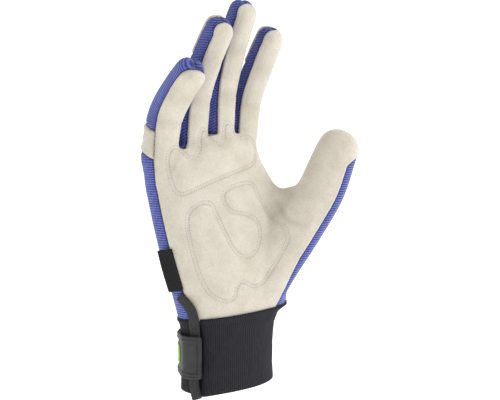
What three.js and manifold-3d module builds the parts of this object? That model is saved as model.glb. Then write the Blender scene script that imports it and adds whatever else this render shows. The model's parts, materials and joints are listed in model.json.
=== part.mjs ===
// A right-hand gardening glove in the form it has when it is worn: one suede palm panel that runs up the
// front of every finger and of the thumb, a stretch-knit back, knit side strips between the fingers, a
// suede band over the knuckles, suede caps behind three fingertips, and an elastic cuff whose vent is
// edged with folded tape and held shut by a rubber tab. Millimetres, +Z towards the fingertips, -Y the
// palm side, +X the thumb side. The origin is the centre of the cuff's opening.
import * as THREE from "three";
import Module from "manifold-3d";

const wasm = await Module();
wasm.setup();

// Driving sizes
const handLength = 200; // cuff seam to the tip of the middle finger, before the fingers bend
const palmWidth = 82; // across the knuckles, outside the glove
const palmDepth = 34; // palm side to the back of the hand
const fingerShare = 0.232; // width of a full finger at its middle joint, a share of palmWidth
const fingerDepth = 22.5;
const thumbWidth = 29;
const thumbDepth = 25;
const wall = 1.8; // suede or knit with its lining
const seamGap = 0.3; // between two panels that are sewn edge to edge
const cuffHeight = 44; // hem to cuff seam
const cuffWidth = 60;
const cuffDepth = 43;
const cuffWall = 1.9;
const cuffGap = 0.4; // between the two layers where the cuff laps over itself
const tapeWidth = 6.3; // folded binding of the vent
const tapeThickness = 1.6;
const tapeEdge = 0.5; // how much its edges are rounded off, a share of its thickness
const tabThickness = 1.7;
const tabBorder = 2.2; // width of the raised border of the tab
const tabLift = 0.7; // height of the border above the tab
const labelWidth = 9.5;
const labelLength = 25;
const labelThickness = 0.8;
const markThickness = 0.5; // the plain moulded bar on the tab
const laidGap = 0.35; // between a piece and the layer it is laid on

// Sections of the palm from the cuff seam to the finger forks. up is a share of handLength above the seam;
// ulnar and radial are the edges as shares of palmWidth; front and back are shares of palmDepth; slope
// tilts the section towards the thumb side; arch drops its two edges by a share of handLength; square is
// the power of its outline.
const PALM = [
  { up: 0, ulnar: -0.405, radial: 0.462, front: -0.62, back: 0.62, slope: 0.1, arch: 0, square: 2.2 },
  { up: 0.1, ulnar: -0.48, radial: 0.5, front: -0.6, back: 0.56, slope: 0.09, arch: 0, square: 2.2 },
  { up: 0.2, ulnar: -0.56, radial: 0.504, front: -0.59, back: 0.54, slope: 0.07, arch: 0, square: 2.3 },
  { up: 0.3, ulnar: -0.618, radial: 0.46, front: -0.54, back: 0.56, slope: 0.06, arch: 0, square: 2.3 },
  { up: 0.4, ulnar: -0.665, radial: 0.375, front: -0.5, back: 0.55, slope: 0.08, arch: 0, square: 2.4 },
  { up: 0.48, ulnar: -0.69, radial: 0.275, front: -0.46, back: 0.5, slope: 0.16, arch: 0.02, square: 2.4 },
  { up: 0.545, ulnar: -0.675, radial: 0.23, front: -0.42, back: 0.45, slope: 0.18, arch: 0.03, square: 2.4 },
  { up: 0.578, ulnar: -0.62, radial: 0.2, front: -0.3, back: 0.36, slope: 0.18, arch: 0.04, square: 2.4 },
];

// Where the palm panel ends at the two edges of the palm, as shares of the palm's half depth.
const PALM_SEAM = [
  { up: 0, ulnar: -0.42, radial: -0.7 },
  { up: 0.2, ulnar: -0.42, radial: -0.7 },
  { up: 0.3, ulnar: -0.4, radial: -0.6 },
  { up: 0.4, ulnar: -0.4, radial: 0.45 },
  { up: 0.48, ulnar: -0.5, radial: 0.5 },
  { up: 0.578, ulnar: -0.5, radial: 0.5 },
];

// Fingers from the thumb side. side, depth and up place the knuckle as shares of palmWidth, palmDepth and
// handLength above the cuff seam; long is knuckle to tip as a share of handLength; splay leans the finger
// to the thumb side and flex1, flex2 and flex3 bend its joints, in degrees; seamUlnar and seamRadial are
// where the front panel ends at the finger's root and seamTip at its tip, shares of the half depth.
const FINGERS = [
  {
    name: "index", side: 0.123, depth: 0.09, up: 0.5, long: 0.425, wide: 0.93,
    splay: 7, flex1: 1, flex2: 26, flex3: 5, seamUlnar: 0, seamRadial: 0.35, seamTip: 0, cap: true,
  },
  {
    name: "middle", side: -0.091, depth: 0.045, up: 0.505, long: 0.495, wide: 0.94,
    splay: 3, flex1: 2, flex2: 21, flex3: 8, seamUlnar: 0, seamRadial: 0, seamTip: 0, cap: true,
  },
  {
    name: "ring", side: -0.325, depth: 0.03, up: 0.5, long: 0.46, wide: 0.98,
    splay: 3.5, flex1: 3, flex2: 27, flex3: 10, seamUlnar: 0, seamRadial: 0, seamTip: 0, cap: true,
  },
  {
    name: "little", side: -0.602, depth: -0.05, up: 0.472, long: 0.375, wide: 1.08,
    splay: 7.5, flex1: 2, flex2: 38, flex3: 13, seamUlnar: -0.7, seamRadial: 0, seamTip: -0.25, cap: false,
  },
];
const BONES = [0.38, 0.33, 0.29]; // shares of a finger's length between its joints
const ROOT = 0.12; // how far a finger's tube starts below its knuckle, a share of handLength
const rootDraw = 0.85; // the tubes start closer together than their knuckles, by this share
const rootShift = -0.03; // and this far to the thumb side, a share of palmWidth
const rootBehind = 0.118; // and this far behind them, a share of palmDepth

// Joints of the thumb, as shares of palmWidth, palmDepth and handLength above the cuff seam.
const THUMB = [
  { side: 0.218, depth: -0.18, up: 0.064 },
  { side: 0.345, depth: -0.35, up: 0.168 },
  { side: 0.485, depth: -0.62, up: 0.278 },
  { side: 0.632, depth: -0.79, up: 0.384 },
  { side: 0.724, depth: -0.94, up: 0.498 },
  { side: 0.774, depth: -1.06, up: 0.571 },
];
const thumbSeamOuter = -0.75; // where the front panel ends on the thumb, shares of the half depth
const thumbSeamInner = 0.5;
const thumbSeamTip = -0.35;
const thumbFrom = 0.75; // where the thumb's front takes over from the palm's, a share of the half width

// The web between the index finger and the thumb: its top edge, and its thickness as a share of palmDepth.
const WEB = [
  { side: 0.235, depth: 0, up: 0.49, thick: 0.5 },
  { side: 0.28, depth: -0.06, up: 0.452, thick: 0.47 },
  { side: 0.34, depth: -0.18, up: 0.412, thick: 0.41 },
  { side: 0.409, depth: -0.34, up: 0.394, thick: 0.38 },
  { side: 0.475, depth: -0.5, up: 0.402, thick: 0.4 },
  { side: 0.53, depth: -0.65, up: 0.412, thick: 0.4 },
];
const webDrop = 0.22; // height of the web's section, a share of handLength
const webSeam = 0.4; // where the front panel ends on the web, a share of its half thickness

// The band over the knuckles: its lower and upper edge, shares of handLength above the cuff seam.
const BAND = [
  { side: -0.95, low: 0.5, high: 0.59 },
  { side: -0.68, low: 0.495, high: 0.59 },
  { side: -0.46, low: 0.455, high: 0.595 },
  { side: -0.2, low: 0.47, high: 0.615 },
  { side: 0.12, low: 0.47, high: 0.61 },
  { side: 0.5, low: 0.46, high: 0.6 },
];
const bandRise = 0.35; // the band climbs this much for each millimetre towards the back of the hand

const stripFront = 0.68; // edges of the knit side strips, shares of the finger's half depth
const stripBack = 0.72;
const capLength = 0.3; // of a fingertip cap, a share of the finger's length

// Sections of the cuff, hem first. wide and shift to the thumb side are shares of cuffWidth, deep is a
// share of cuffDepth, slope and tilt raise the thumb side and the back. The top section has the outline
// of the palm's first one.
const CUFF = [
  { up: 0, wide: 1.02, deep: 1, shift: -0.0117, slope: 0.1, tilt: 0.06 },
  { up: 0.2, wide: 1, deep: 0.98, shift: -0.0117, slope: 0.1, tilt: 0.05 },
  { up: 0.5, wide: 0.995, deep: 0.98, shift: -0.01, slope: 0.1, tilt: 0.03 },
  { up: 0.8, wide: 1.02, deep: 0.99, shift: -0.005, slope: 0.1, tilt: 0.01 },
  { up: 0.93, wide: 1.08, deep: 0.99, shift: 0.0083, slope: 0.1, tilt: 0 },
];
const CUFF_SQUARE = 2.15; // the power of their outlines
const ventAngle = 206; // where the cuff's outer end lies, degrees round from the thumb side
const ventLap = 26; // how far the inner end runs on beneath it, degrees
const ventDip = 1.8; // the hem hangs this much lower beside the vent
const dipReach = 30; // degrees round from the vent

// The folded tape along the vent, from below the hem to its looped end above the cuff seam. up is a share
// of cuffHeight; degrees is round from the thumb side.
const TAPE = [
  { up: -0.06, degrees: 211 },
  { up: 0.06, degrees: 207 },
  { up: 0.25, degrees: 203 },
  { up: 0.6, degrees: 204 },
  { up: 0.95, degrees: 208 },
  { up: 1.08, degrees: 209.5 },
  { up: 1.18, degrees: 209 },
  { up: 1.26, degrees: 206 },
  { up: 1.33, degrees: 202 },
  { up: 1.39, degrees: 197 },
];

// The closure tab: its free end lies on the palm side of the vent, its sewn end towards the back.
const tabFrom = 132; // degrees round from the thumb side
const tabTo = 219;
const tabCorner = 3; // radius of the free end's corners
const tabLow = 0.25; // shares of cuffHeight
const tabHigh = 0.79;
const markFrom = 146; // the plain bar on the tab
const markTo = 169;
const markLow = 0.4;
const markHigh = 0.66;

const labelAngle = 206; // degrees round the hand at which the label's seam lies
const labelLow = 0.105; // where the label starts above the cuff seam, a share of handLength
const labelGap = 0.8; // its sewn edge above the seam
const labelStandOff = 0.28; // how far its free edge stands off the back, a share of its width

function superellipse(halfWidth, halfDepth, square, degrees) {
  const angle = THREE.MathUtils.degToRad(degrees);
  const c = Math.cos(angle);
  const s = Math.sin(angle);
  return [
    halfWidth * Math.sign(c) * Math.abs(c) ** (2 / square),
    halfDepth * Math.sign(s) * Math.abs(s) ** (2 / square),
  ];
}

function outline(halfWidth, halfDepth, square, sides) {
  const corners = Array.from({ length: sides }, (_, i) => (360 * i) / sides);
  return corners.map((degrees) => superellipse(halfWidth, halfDepth, square, degrees));
}

function solidOf(points, faces) {
  const vertProperties = new Float32Array(points.flatMap((p) => p.toArray()));
  const triVerts = new Uint32Array(faces.flat());
  return new wasm.Manifold(new wasm.Mesh({ numProp: 3, vertProperties, triVerts }));
}

// A closed solid through flat rings of equal count, each anticlockwise seen from the last ring's side.
function loft(rings) {
  const sides = rings[0].length;
  const points = rings.flat();
  const faces = [];
  for (let i = 0; i + 1 < rings.length; i++) {
    for (let j = 0; j < sides; j++) {
      const k = (j + 1) % sides;
      const [a, b, c, d] = [i * sides + j, i * sides + k, (i + 1) * sides + j, (i + 1) * sides + k];
      faces.push([a, b, d], [a, d, c]);
    }
  }
  const cap = (ring, start, turned) => {
    const across = ring[1].clone().sub(ring[0]).normalize();
    const normal = new THREE.Vector3();
    ring.forEach((p, i) => normal.add(p.clone().cross(ring[(i + 1) % sides])));
    const up = normal.normalize().cross(across).normalize();
    const flat = ring.map((p) => new THREE.Vector2(p.dot(across), p.dot(up)));
    for (const [a, b, c] of THREE.ShapeUtils.triangulateShape(flat, [])) {
      faces.push(turned ? [start + c, start + b, start + a] : [start + a, start + b, start + c]);
    }
  };
  cap(rings[0], 0, true);
  cap(rings.at(-1), points.length - sides, false);
  return solidOf(points, faces);
}

// A sheet: rows of outer points and the inner points behind them, with its outer side on the left of
// the rows' direction when the next row lies above.
function sheet(outer, inner) {
  const [rows, columns] = [outer.length, outer[0].length];
  const points = [...outer.flat(), ...inner.flat()];
  const at = (layer, i, j) => layer * rows * columns + i * columns + j;
  const faces = [];
  const quad = (a, b, c, d) => faces.push([a, b, c], [a, c, d]);
  for (let i = 0; i + 1 < rows; i++) {
    for (let j = 0; j + 1 < columns; j++) {
      quad(at(0, i, j), at(0, i, j + 1), at(0, i + 1, j + 1), at(0, i + 1, j));
      quad(at(1, i, j), at(1, i + 1, j), at(1, i + 1, j + 1), at(1, i, j + 1));
    }
  }
  for (let j = 0; j + 1 < columns; j++) {
    quad(at(1, 0, j), at(1, 0, j + 1), at(0, 0, j + 1), at(0, 0, j));
    quad(at(0, rows - 1, j), at(0, rows - 1, j + 1), at(1, rows - 1, j + 1), at(1, rows - 1, j));
  }
  for (let i = 0; i + 1 < rows; i++) {
    quad(at(0, i, 0), at(0, i + 1, 0), at(1, i + 1, 0), at(1, i, 0));
    const j = columns - 1;
    quad(at(1, i, j), at(1, i + 1, j), at(0, i + 1, j), at(0, i, j));
  }
  return solidOf(points, faces);
}

function union(solids) {
  return solids.reduce((sum, solid) => sum.add(solid));
}

// A place given by its side, depth and up.
function placed({ side, depth, up }) {
  return new THREE.Vector3(side * palmWidth, depth * palmDepth, cuffHeight + up * handLength);
}

// The values of a table between two of its rows.
function mixed(rows, up) {
  const i = rows.findLastIndex((row, k) => k === 0 || (k < rows.length - 1 && row.up <= up));
  const t = (up - rows[i].up) / (rows[i + 1].up - rows[i].up);
  return (key) => rows[i][key] * (1 - t) + rows[i + 1][key] * t;
}

// The palm
function palmRow(row) {
  const [left, right] = [row.ulnar * palmWidth, row.radial * palmWidth];
  const [front, back] = [row.front * palmDepth, row.back * palmDepth];
  return {
    x: (left + right) / 2, y: (front + back) / 2, z: cuffHeight + row.up * handLength,
    halfWidth: (right - left) / 2, halfDepth: (back - front) / 2,
  };
}

function palmPoint(row, x, y, lift) {
  const centre = palmRow(row);
  const drop = row.arch * handLength * Math.min(1.5, x / centre.halfWidth) ** 2;
  return new THREE.Vector3(centre.x + x, centre.y + y, centre.z + lift + row.slope * (centre.x + x) - drop);
}

function palmSolid(shrink) {
  const rings = PALM.map((row, i) => {
    const { halfWidth, halfDepth } = palmRow(row);
    const lift = shrink > 0 && i === 0 ? -wall : 0;
    const drop = i === PALM.length - 1 ? shrink : 0;
    const section = outline(halfWidth - shrink, halfDepth - shrink, row.square, PALM_SIDES);
    return section.map(([x, y]) => palmPoint(row, x, y, lift - drop));
  });
  return loft(rings);
}

// The part of space in front of the palm's two side seams. Below the thumb's crotch it ends where the
// thumb's own front begins.
function palmFront(grow) {
  const reach = palmDepth * 2;
  const rings = PALM.map((row, i) => {
    const { halfWidth: a, halfDepth: b } = palmRow(row);
    const lift = i === 0 ? -wall * 2 : i === PALM.length - 1 ? wall * 8 : 0;
    const seam = mixed(PALM_SEAM, row.up);
    const yU = seam("ulnar") * b + grow;
    const yR = seam("radial") * b + grow;
    const far = a * 1.1;
    const xR = yR < 0 ? a * thumbFrom : far;
    const corners = [[-far, yU], [-far, -reach], [xR, -reach], [xR, yR], [a * 0.3, grow], [-a * 0.3, yU]];
    return corners.map(([x, y]) => palmPoint(row, x, y, lift));
  });
  return loft(rings);
}

// Tubes of the fingers and the thumb: a curve, the axis across it, and the half sizes along it.
function fingerForm(finger) {
  const rad = THREE.MathUtils.degToRad;
  const straight = new THREE.Vector3(Math.sin(rad(finger.splay)), 0, Math.cos(rad(finger.splay)));
  const across = new THREE.Vector3(straight.z, 0, -straight.x);
  const knuckle = placed(finger);
  const root = new THREE.Vector3(
    knuckle.x * rootDraw + palmWidth * rootShift,
    knuckle.y + palmDepth * rootBehind,
    knuckle.z - ROOT * handLength,
  );
  const joints = [root, knuckle];
  const bends = [finger.flex1, finger.flex1 + finger.flex2, finger.flex1 + finger.flex2 + finger.flex3];
  BONES.forEach((share, i) => {
    const along = straight.clone().applyAxisAngle(across, rad(bends[i]));
    joints.push(joints.at(-1).clone().addScaledVector(along, share * finger.long * handLength));
  });
  const halfSizes = (u) => {
    const grown = 0.6 + 0.36 * THREE.MathUtils.smoothstep(u, 0, 0.34);
    const slim = u < 0.55 ? grown + 0.04 * Math.sin((Math.PI * u) / 0.55) : 0.96 - 0.14 * ((u - 0.55) / 0.45);
    return [(finger.wide * fingerShare * palmWidth * slim) / 2, (fingerDepth * slim) / 2];
  };
  const curve = new THREE.CatmullRomCurve3(joints, false, "catmullrom", 0.5);
  return { curve, across, halfSizes, square: 2.6, sides: 16, blunt: 0.95 };
}

function thumbForm() {
  const joints = THUMB.map(placed);
  const halfSizes = (u) => {
    const slim = 1.13 - 0.2 * Math.max(0, (u - 0.3) / 0.7) - 0.03 * THREE.MathUtils.smoothstep(u, 0.75, 1);
    return [(thumbWidth * slim) / 2, (thumbDepth * slim) / 2];
  };
  const across = new THREE.Vector3(0.8, -0.5, -0.3).normalize();
  const curve = new THREE.CatmullRomCurve3(joints, false, "catmullrom", 0.5);
  return { curve, across, halfSizes, square: 2.3, sides: 18, blunt: 1.15 };
}

const PALM_SIDES = 28;
const REACH = 1.03; // how far a cutter reaches past the side of its finger, a share of the half width
const STATIONS = [0, 0.24, 0.38, 0.5, 0.62, 0.74, 0.87, 1];
const TIP = [0.4, 0.72, 0.94];

// Places along a tube: how far along, the point, its axes, and how much the rounded end has narrowed it.
function places(form) {
  const total = form.curve.getLength();
  const round = form.halfSizes(1)[1] * form.blunt;
  const list = STATIONS.map((t) => [t * (total - round), 1, 0]);
  for (const x of TIP) list.push([total - round + x * round, (1 - x ** 2.3) ** (1 / 2.3), x]);
  return list.map(([along, narrow, end]) => {
    const u = Math.min(1, along / total);
    const tangent = form.curve.getTangentAt(u);
    const across = form.across.clone().addScaledVector(tangent, -form.across.dot(tangent)).normalize();
    const behind = tangent.clone().cross(across);
    const point = form.curve.getPointAt(u);
    return { u, narrow, end, point, tangent, across, behind, half: form.halfSizes(u) };
  });
}

function tube(form, shrink) {
  const rings = places(form).map(({ narrow, end, point, tangent, across, behind, half }) => {
    const centre = point.clone().addScaledVector(tangent, -shrink * end);
    const size = half.map((h) => Math.max(0.4, h * narrow - shrink));
    return outline(size[0], size[1], form.square, form.sides).map(([q, p]) =>
      centre.clone().addScaledVector(across, q).addScaledVector(behind, p),
    );
  });
  return loft(rings);
}

// A prism along a tube. corners gives its section from the place's half sizes.
function along(form, from, corners) {
  const list = places(form).filter(({ u }) => u >= from);
  const beyond = { ...list.at(-1) };
  beyond.point = beyond.point.clone().addScaledVector(beyond.tangent, wall * 2);
  list.push(beyond);
  const rings = list.map((place) =>
    corners(place).map(([q, p]) =>
      place.point.clone().addScaledVector(place.across, q).addScaledVector(place.behind, p),
    ),
  );
  return loft(rings);
}

function frontOf(form, seamUlnar, seamRadial, seamTip, grow) {
  return along(form, 0.15, ({ u: share, half, narrow }) => {
    const [w, d] = [half[0] * REACH, half[1] * 1.5];
    const tip = THREE.MathUtils.smoothstep(share, 0.3, 0.9);
    const seam = (root) => (root + (seamTip - root) * tip) * half[1] * narrow + grow;
    const [u, r] = [seam(seamUlnar), seam(seamRadial)];
    return [[-w, -d], [w, -d], [w, r], [w * 0.4, r], [-w * 0.4, u], [-w, u]];
  });
}

// The region of a knit side strip on one side of a finger, -1 ulnar and +1 radial.
function stripOf(form, side, grow) {
  return along(form, 0, ({ u: share, half, narrow }) => {
    const keep = 0.35 + 0.65 * narrow;
    const near = seamGap / 2 - grow;
    const far = half[0] * (REACH + 0.4 * (1 - THREE.MathUtils.smoothstep(share, 0.3, 0.45))) + grow;
    const [front, back] = [-stripFront * half[1] * keep - grow, stripBack * half[1] * keep + grow];
    const corners = [[near, front], [far, front], [far, back], [near, back]];
    return side > 0 ? corners : corners.map(([q, p]) => [-q, p]).reverse();
  });
}

function capOf(form, grow) {
  const from = 1 - capLength * (1 - ROOT) - grow / form.curve.getLength();
  return along(form, from, ({ half }) => {
    const [w, d] = [half[0] * REACH, half[1]];
    return [[-w, d * 0.2], [w, d * 0.2], [w, d * 1.3], [-w, d * 1.3]];
  });
}

function backOf(form) {
  return along(form, 0, ({ half }) => {
    const [w, d] = [half[0] * REACH, half[1]];
    return [[-w, -d], [w, -d], [w, d * 1.5], [-w, d * 1.5]];
  });
}

// The direction of a line of points at one of them.
function direction(points, i) {
  return points[Math.min(i + 1, points.length - 1)].clone().sub(points[Math.max(i - 1, 0)]).normalize();
}

// The web
function webPlaces() {
  const tops = WEB.map(placed);
  return WEB.map(({ thick }, i) => {
    const across = direction(tops, i).setZ(0).normalize();
    const behind = new THREE.Vector3(-across.y, across.x, 0);
    return { top: tops[i], behind, half: (thick * palmDepth) / 2 };
  });
}

function webSolid(shrink) {
  const halfHeight = (webDrop * handLength) / 2;
  const rings = webPlaces().map(({ top, behind, half }) =>
    outline(half - shrink, halfHeight - shrink, 2.4, 14).map(([p, h]) =>
      top.clone().addScaledVector(behind, p).add(new THREE.Vector3(0, 0, h - halfHeight)),
    ),
  );
  return loft(rings);
}

function webFront(grow) {
  const drop = webDrop * handLength;
  const rings = webPlaces().map(({ top, behind, half }) => {
    const [near, seam] = [-half * 2, half * webSeam + grow];
    const corners = [[near, -drop * 0.8], [seam, -drop * 0.8], [seam, wall * 4], [near, wall * 4]];
    return corners.map(([p, h]) => top.clone().addScaledVector(behind, p).add(new THREE.Vector3(0, 0, h)));
  });
  return loft(rings);
}

function bandRegion(grow) {
  return bandLoft(({ low, high }) => [low, -grow, high, grow]);
}

function aboveBand(gap) {
  return bandLoft(({ high }) => [high, gap, high + 0.6, 0]);
}

function bandLoft(edges) {
  const rings = BAND.map((row) => {
    const [low, under, high, over] = edges(row);
    const [near, far] = [-palmDepth * 1.6, palmDepth * 1.5];
    const corners = [[near, low, under], [far, low, under], [far, high, over], [near, high, over]];
    return corners.map(([y, share, extra]) => {
      const z = cuffHeight + share * handLength + extra + bandRise * y;
      return new THREE.Vector3(row.side * palmWidth, y, z);
    });
  });
  return loft(rings);
}

const fingers = FINGERS.map(fingerForm);
const thumb = thumbForm();
const hand = (shrink) =>
  union([palmSolid(shrink), webSolid(shrink), ...[thumb, ...fingers].map((form) => tube(form, shrink))]);
const shell = hand(0).subtract(hand(wall));

const strips = [0, 1, 2].map(
  (i) => (grow) => union([stripOf(fingers[i], -1, grow), stripOf(fingers[i + 1], 1, grow)]),
);
const front = (grow) =>
  union([
    palmFront(grow), webFront(grow), frontOf(thumb, thumbSeamInner, thumbSeamOuter, thumbSeamTip, grow),
    ...FINGERS.map((row, i) => frontOf(fingers[i], row.seamUlnar, row.seamRadial, row.seamTip, grow)),
  ]);
const betweenStrips = shell.subtract(union(strips.map((strip) => strip(seamGap))));
const palmPanel = betweenStrips.intersect(front(0));
const behindSeams = betweenStrips.subtract(front(seamGap));
const band = behindSeams.intersect(bandRegion(0));
const backPanel = behindSeams.subtract(bandRegion(seamGap)).subtract(aboveBand(0));
const overBand = behindSeams.intersect(aboveBand(seamGap));

// The cuff: outlines at several heights, open at the vent and lapping over itself there.
const top = palmRow(PALM[0]);
const topShape = { wide: (2 * top.halfWidth) / cuffWidth, deep: (2 * top.halfDepth) / cuffDepth };
const lastRow = { up: 1, ...topShape, shift: top.x / cuffWidth, slope: PALM[0].slope, tilt: 0 };
const CUFF_ROWS = [...CUFF, lastRow];

// A point of the cuff, or of the hand above it, moved outwards by offset. up is a share of cuffHeight.
function skinPoint(up, degrees, offset) {
  if (up > 1) {
    const row = mixed(PALM, ((up - 1) * cuffHeight) / handLength);
    const [left, right] = [row("ulnar") * palmWidth, row("radial") * palmWidth];
    const [halfWidth, halfDepth] = [(right - left) / 2, ((row("back") - row("front")) * palmDepth) / 2];
    const [x, y] = superellipse(halfWidth + offset, halfDepth + offset, row("square"), degrees);
    const centre = (left + right) / 2;
    const depth = ((row("front") + row("back")) / 2) * palmDepth;
    return new THREE.Vector3(centre + x, depth + y, up * cuffHeight + row("slope") * (centre + x));
  }
  const row = mixed(CUFF_ROWS, up);
  const [halfWidth, halfDepth] = [(cuffWidth * row("wide")) / 2, (cuffDepth * row("deep")) / 2];
  const [fromMiddle, y] = superellipse(halfWidth + offset, halfDepth + offset, CUFF_SQUARE, degrees);
  const x = fromMiddle + row("shift") * cuffWidth;
  const dip = ventDip * (1 - up) ** 2 * Math.exp(-(((degrees - ventAngle) / dipReach) ** 2));
  return new THREE.Vector3(x, y, up * cuffHeight + row("slope") * x + row("tilt") * y - dip);
}

// The angle that a length takes up round the cuff.
function turn(length) {
  return (720 * length) / (Math.PI * (cuffWidth + cuffDepth));
}

const CUFF_STEPS = 32;

function cuffSolid() {
  const start = ventAngle - ventLap;
  const steps = Array.from({ length: CUFF_STEPS + 1 }, (_, i) => i / CUFF_STEPS);
  const turns = steps.map((share) => start + (360 + ventLap) * share);
  const heights = [0, 0.35, 0.8, 0.93, 1 - seamGap / cuffHeight];
  const layer = (depth) =>
    heights.map((up) =>
      turns.map((degrees) => {
        const lapped = THREE.MathUtils.smoothstep(degrees, ventAngle + 2, ventAngle + 34);
        return skinPoint(up, degrees, -depth - (cuffWall + cuffGap) * (1 - lapped));
      }),
    );
  return sheet(layer(0), layer(cuffWall));
}

// A strip laid along the skin: its middle line, its width across, and its two faces.
function tapeSolid() {
  const centres = (offset) => TAPE.map(({ up, degrees }) => skinPoint(up, degrees, offset));
  const layer = (offset, side) => {
    const line = centres(offset);
    const outwards = centres(offset + 1);
    const round = TAPE.map((_, i) => (i === TAPE.length - 1 ? 0.55 : 1));
    return line.map((point, i) => {
      const tangent = direction(line, i);
      const normal = outwards[i].clone().sub(point);
      const across = normal.clone().cross(tangent).normalize();
      return [0.5, 0.38, 0, -0.38, -0.5].map((share) => {
        const thinned = Math.abs(share) === 0.5 ? (tapeThickness * tapeEdge) / 2 : 0;
        const width = share * tapeWidth * round[i];
        return point.clone().addScaledVector(across, width).addScaledVector(normal, -side * thinned);
      });
    });
  };
  return sheet(layer(laidGap + tapeThickness, 1), layer(laidGap, -1));
}

// How far the tab stands off the cuff: it rises over the tape.
function tabFoot(degrees) {
  const over = THREE.MathUtils.smoothstep(degrees, ventAngle - 36, ventAngle - 14);
  return laidGap + over * (tapeThickness + laidGap * 2);
}

function tabLayer(offset, inset) {
  const rows = 6;
  const columns = 9;
  const middle = (tabLow + tabHigh) / 2;
  const halfHeight = (tabHigh - tabLow) / 2 - inset / cuffHeight;
  const corner = tabCorner / cuffHeight;
  return Array.from({ length: rows + 1 }, (_, i) => {
    const side = -Math.cos((Math.PI * i) / rows);
    const up = middle + side * halfHeight;
    const near = Math.max(0, (Math.abs(up - middle) - halfHeight + corner) / corner);
    const cut = tabCorner * (1 - Math.sqrt(Math.max(0, 1 - near ** 2)));
    const [from, to] = [tabFrom + turn(inset), tabTo - turn(inset + cut)];
    return Array.from({ length: columns + 1 }, (_, j) => {
      const degrees = from + ((to - from) * j) / columns;
      return skinPoint(up, degrees, tabFoot(degrees) + offset);
    });
  });
}

function tabSolid() {
  const body = sheet(tabLayer(tabThickness + tabLift, 0), tabLayer(0, 0));
  const pocket = sheet(tabLayer(2 * tabThickness + tabLift, tabBorder), tabLayer(tabThickness, tabBorder));
  return body.subtract(pocket);
}

function markSolid() {
  const layer = (offset) =>
    [0, 0.5, 1].map((i) =>
      [0, 0.25, 0.5, 0.75, 1].map((j) => {
        const degrees = markFrom + (markTo - markFrom) * j;
        const lift = tabFoot(degrees) + tabThickness + offset;
        return skinPoint(markLow + (markHigh - markLow) * i, degrees, lift);
      }),
    );
  return sheet(layer(laidGap + markThickness), layer(laidGap));
}

// The woven label: one long edge at the seam, the other standing off the back panel.
function labelSolid() {
  const upOf = (t) => 1 + ((labelLow * handLength + labelLength * t) / cuffHeight);
  const seam = [0, 1].map((t) => skinPoint(upOf(t), labelAngle, labelGap));
  const above = skinPoint(upOf(0.5), labelAngle, labelGap + labelThickness);
  const normal = above.sub(skinPoint(upOf(0.5), labelAngle, labelGap)).normalize();
  const tangent = seam[1].clone().sub(seam[0]).normalize();
  const flat = normal.clone().cross(tangent).normalize();
  const across = flat.addScaledVector(normal, labelStandOff).normalize();
  const layer = (height) =>
    [0, 0.5, 1].map((t) => {
      const sewn = seam[0].clone().lerp(seam[1], t).addScaledVector(normal, height);
      return [1, 0.5, 0].map((q) => sewn.clone().addScaledVector(across, q * labelWidth));
    });
  return sheet(layer(labelThickness), layer(0));
}

const FINENESS = 0.05; // facets smaller than this are merged

function mesh(name, solid, color, roughness) {
  const { vertProperties, triVerts } = solid.asOriginal().simplify(FINENESS).getMesh();
  const geometry = new THREE.BufferGeometry()
    .setAttribute("position", new THREE.BufferAttribute(vertProperties, 3))
    .setIndex(new THREE.BufferAttribute(triVerts, 1));
  const made = new THREE.Mesh(geometry, new THREE.MeshStandardMaterial({ color, roughness, metalness: 0 }));
  made.name = name;
  return made;
}

const SUEDE = 0xd8cfbf;
const KNIT = 0x6a72c4;
const glove = new THREE.Group();
glove.add(mesh("palm_panel", palmPanel, SUEDE, 0.95));
glove.add(mesh("back_panel", backPanel, KNIT, 0.9));
const gaps = ["index_middle", "middle_ring", "ring_little"];
strips.forEach((strip, i) => {
  glove.add(mesh("side_strip_" + gaps[i], shell.intersect(strip(0)), KNIT, 0.9));
});
glove.add(mesh("knuckle_band", band, SUEDE, 0.95));
FINGERS.forEach(({ name, cap }, i) => {
  const beside = fingers.filter((_, k) => Math.abs(k - i) === 1).map((form) => tube(form, 0));
  const own = overBand.intersect(backOf(fingers[i])).subtract(union(beside));
  glove.add(mesh("finger_back_" + name, cap ? own.subtract(capOf(fingers[i], seamGap)) : own, KNIT, 0.9));
  if (cap) glove.add(mesh("fingertip_cap_" + name, own.intersect(capOf(fingers[i], 0)), SUEDE, 0.95));
});
glove.add(mesh("cuff", cuffSolid(), 0x2c2b30, 0.9));
glove.add(mesh("vent_tape", tapeSolid(), 0x202024, 0.85));
glove.add(mesh("closure_tab", tabSolid(), 0x464646, 0.6));
glove.add(mesh("tab_mark", markSolid(), 0x8ba462, 0.6));
glove.add(mesh("side_label", labelSolid(), 0x343434, 0.85));

export default glove;
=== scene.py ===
# A right-hand gardening glove in the form it has when it is worn, seen from the palm side: a suede palm
# that runs up the front of every finger, a stretch-knit back and side strips, a suede band over the
# knuckles, suede fingertip caps, and a black knit cuff closed by a rubber tab. Millimetres until a piece
# is finished, +Z towards the fingertips, -Y out of the palm, +X the thumb side.
import json
import math

import bmesh
import bpy
import numpy as np
from mathutils import Matrix, Vector, kdtree, noise
from mathutils.bvhtree import BVHTree

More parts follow.
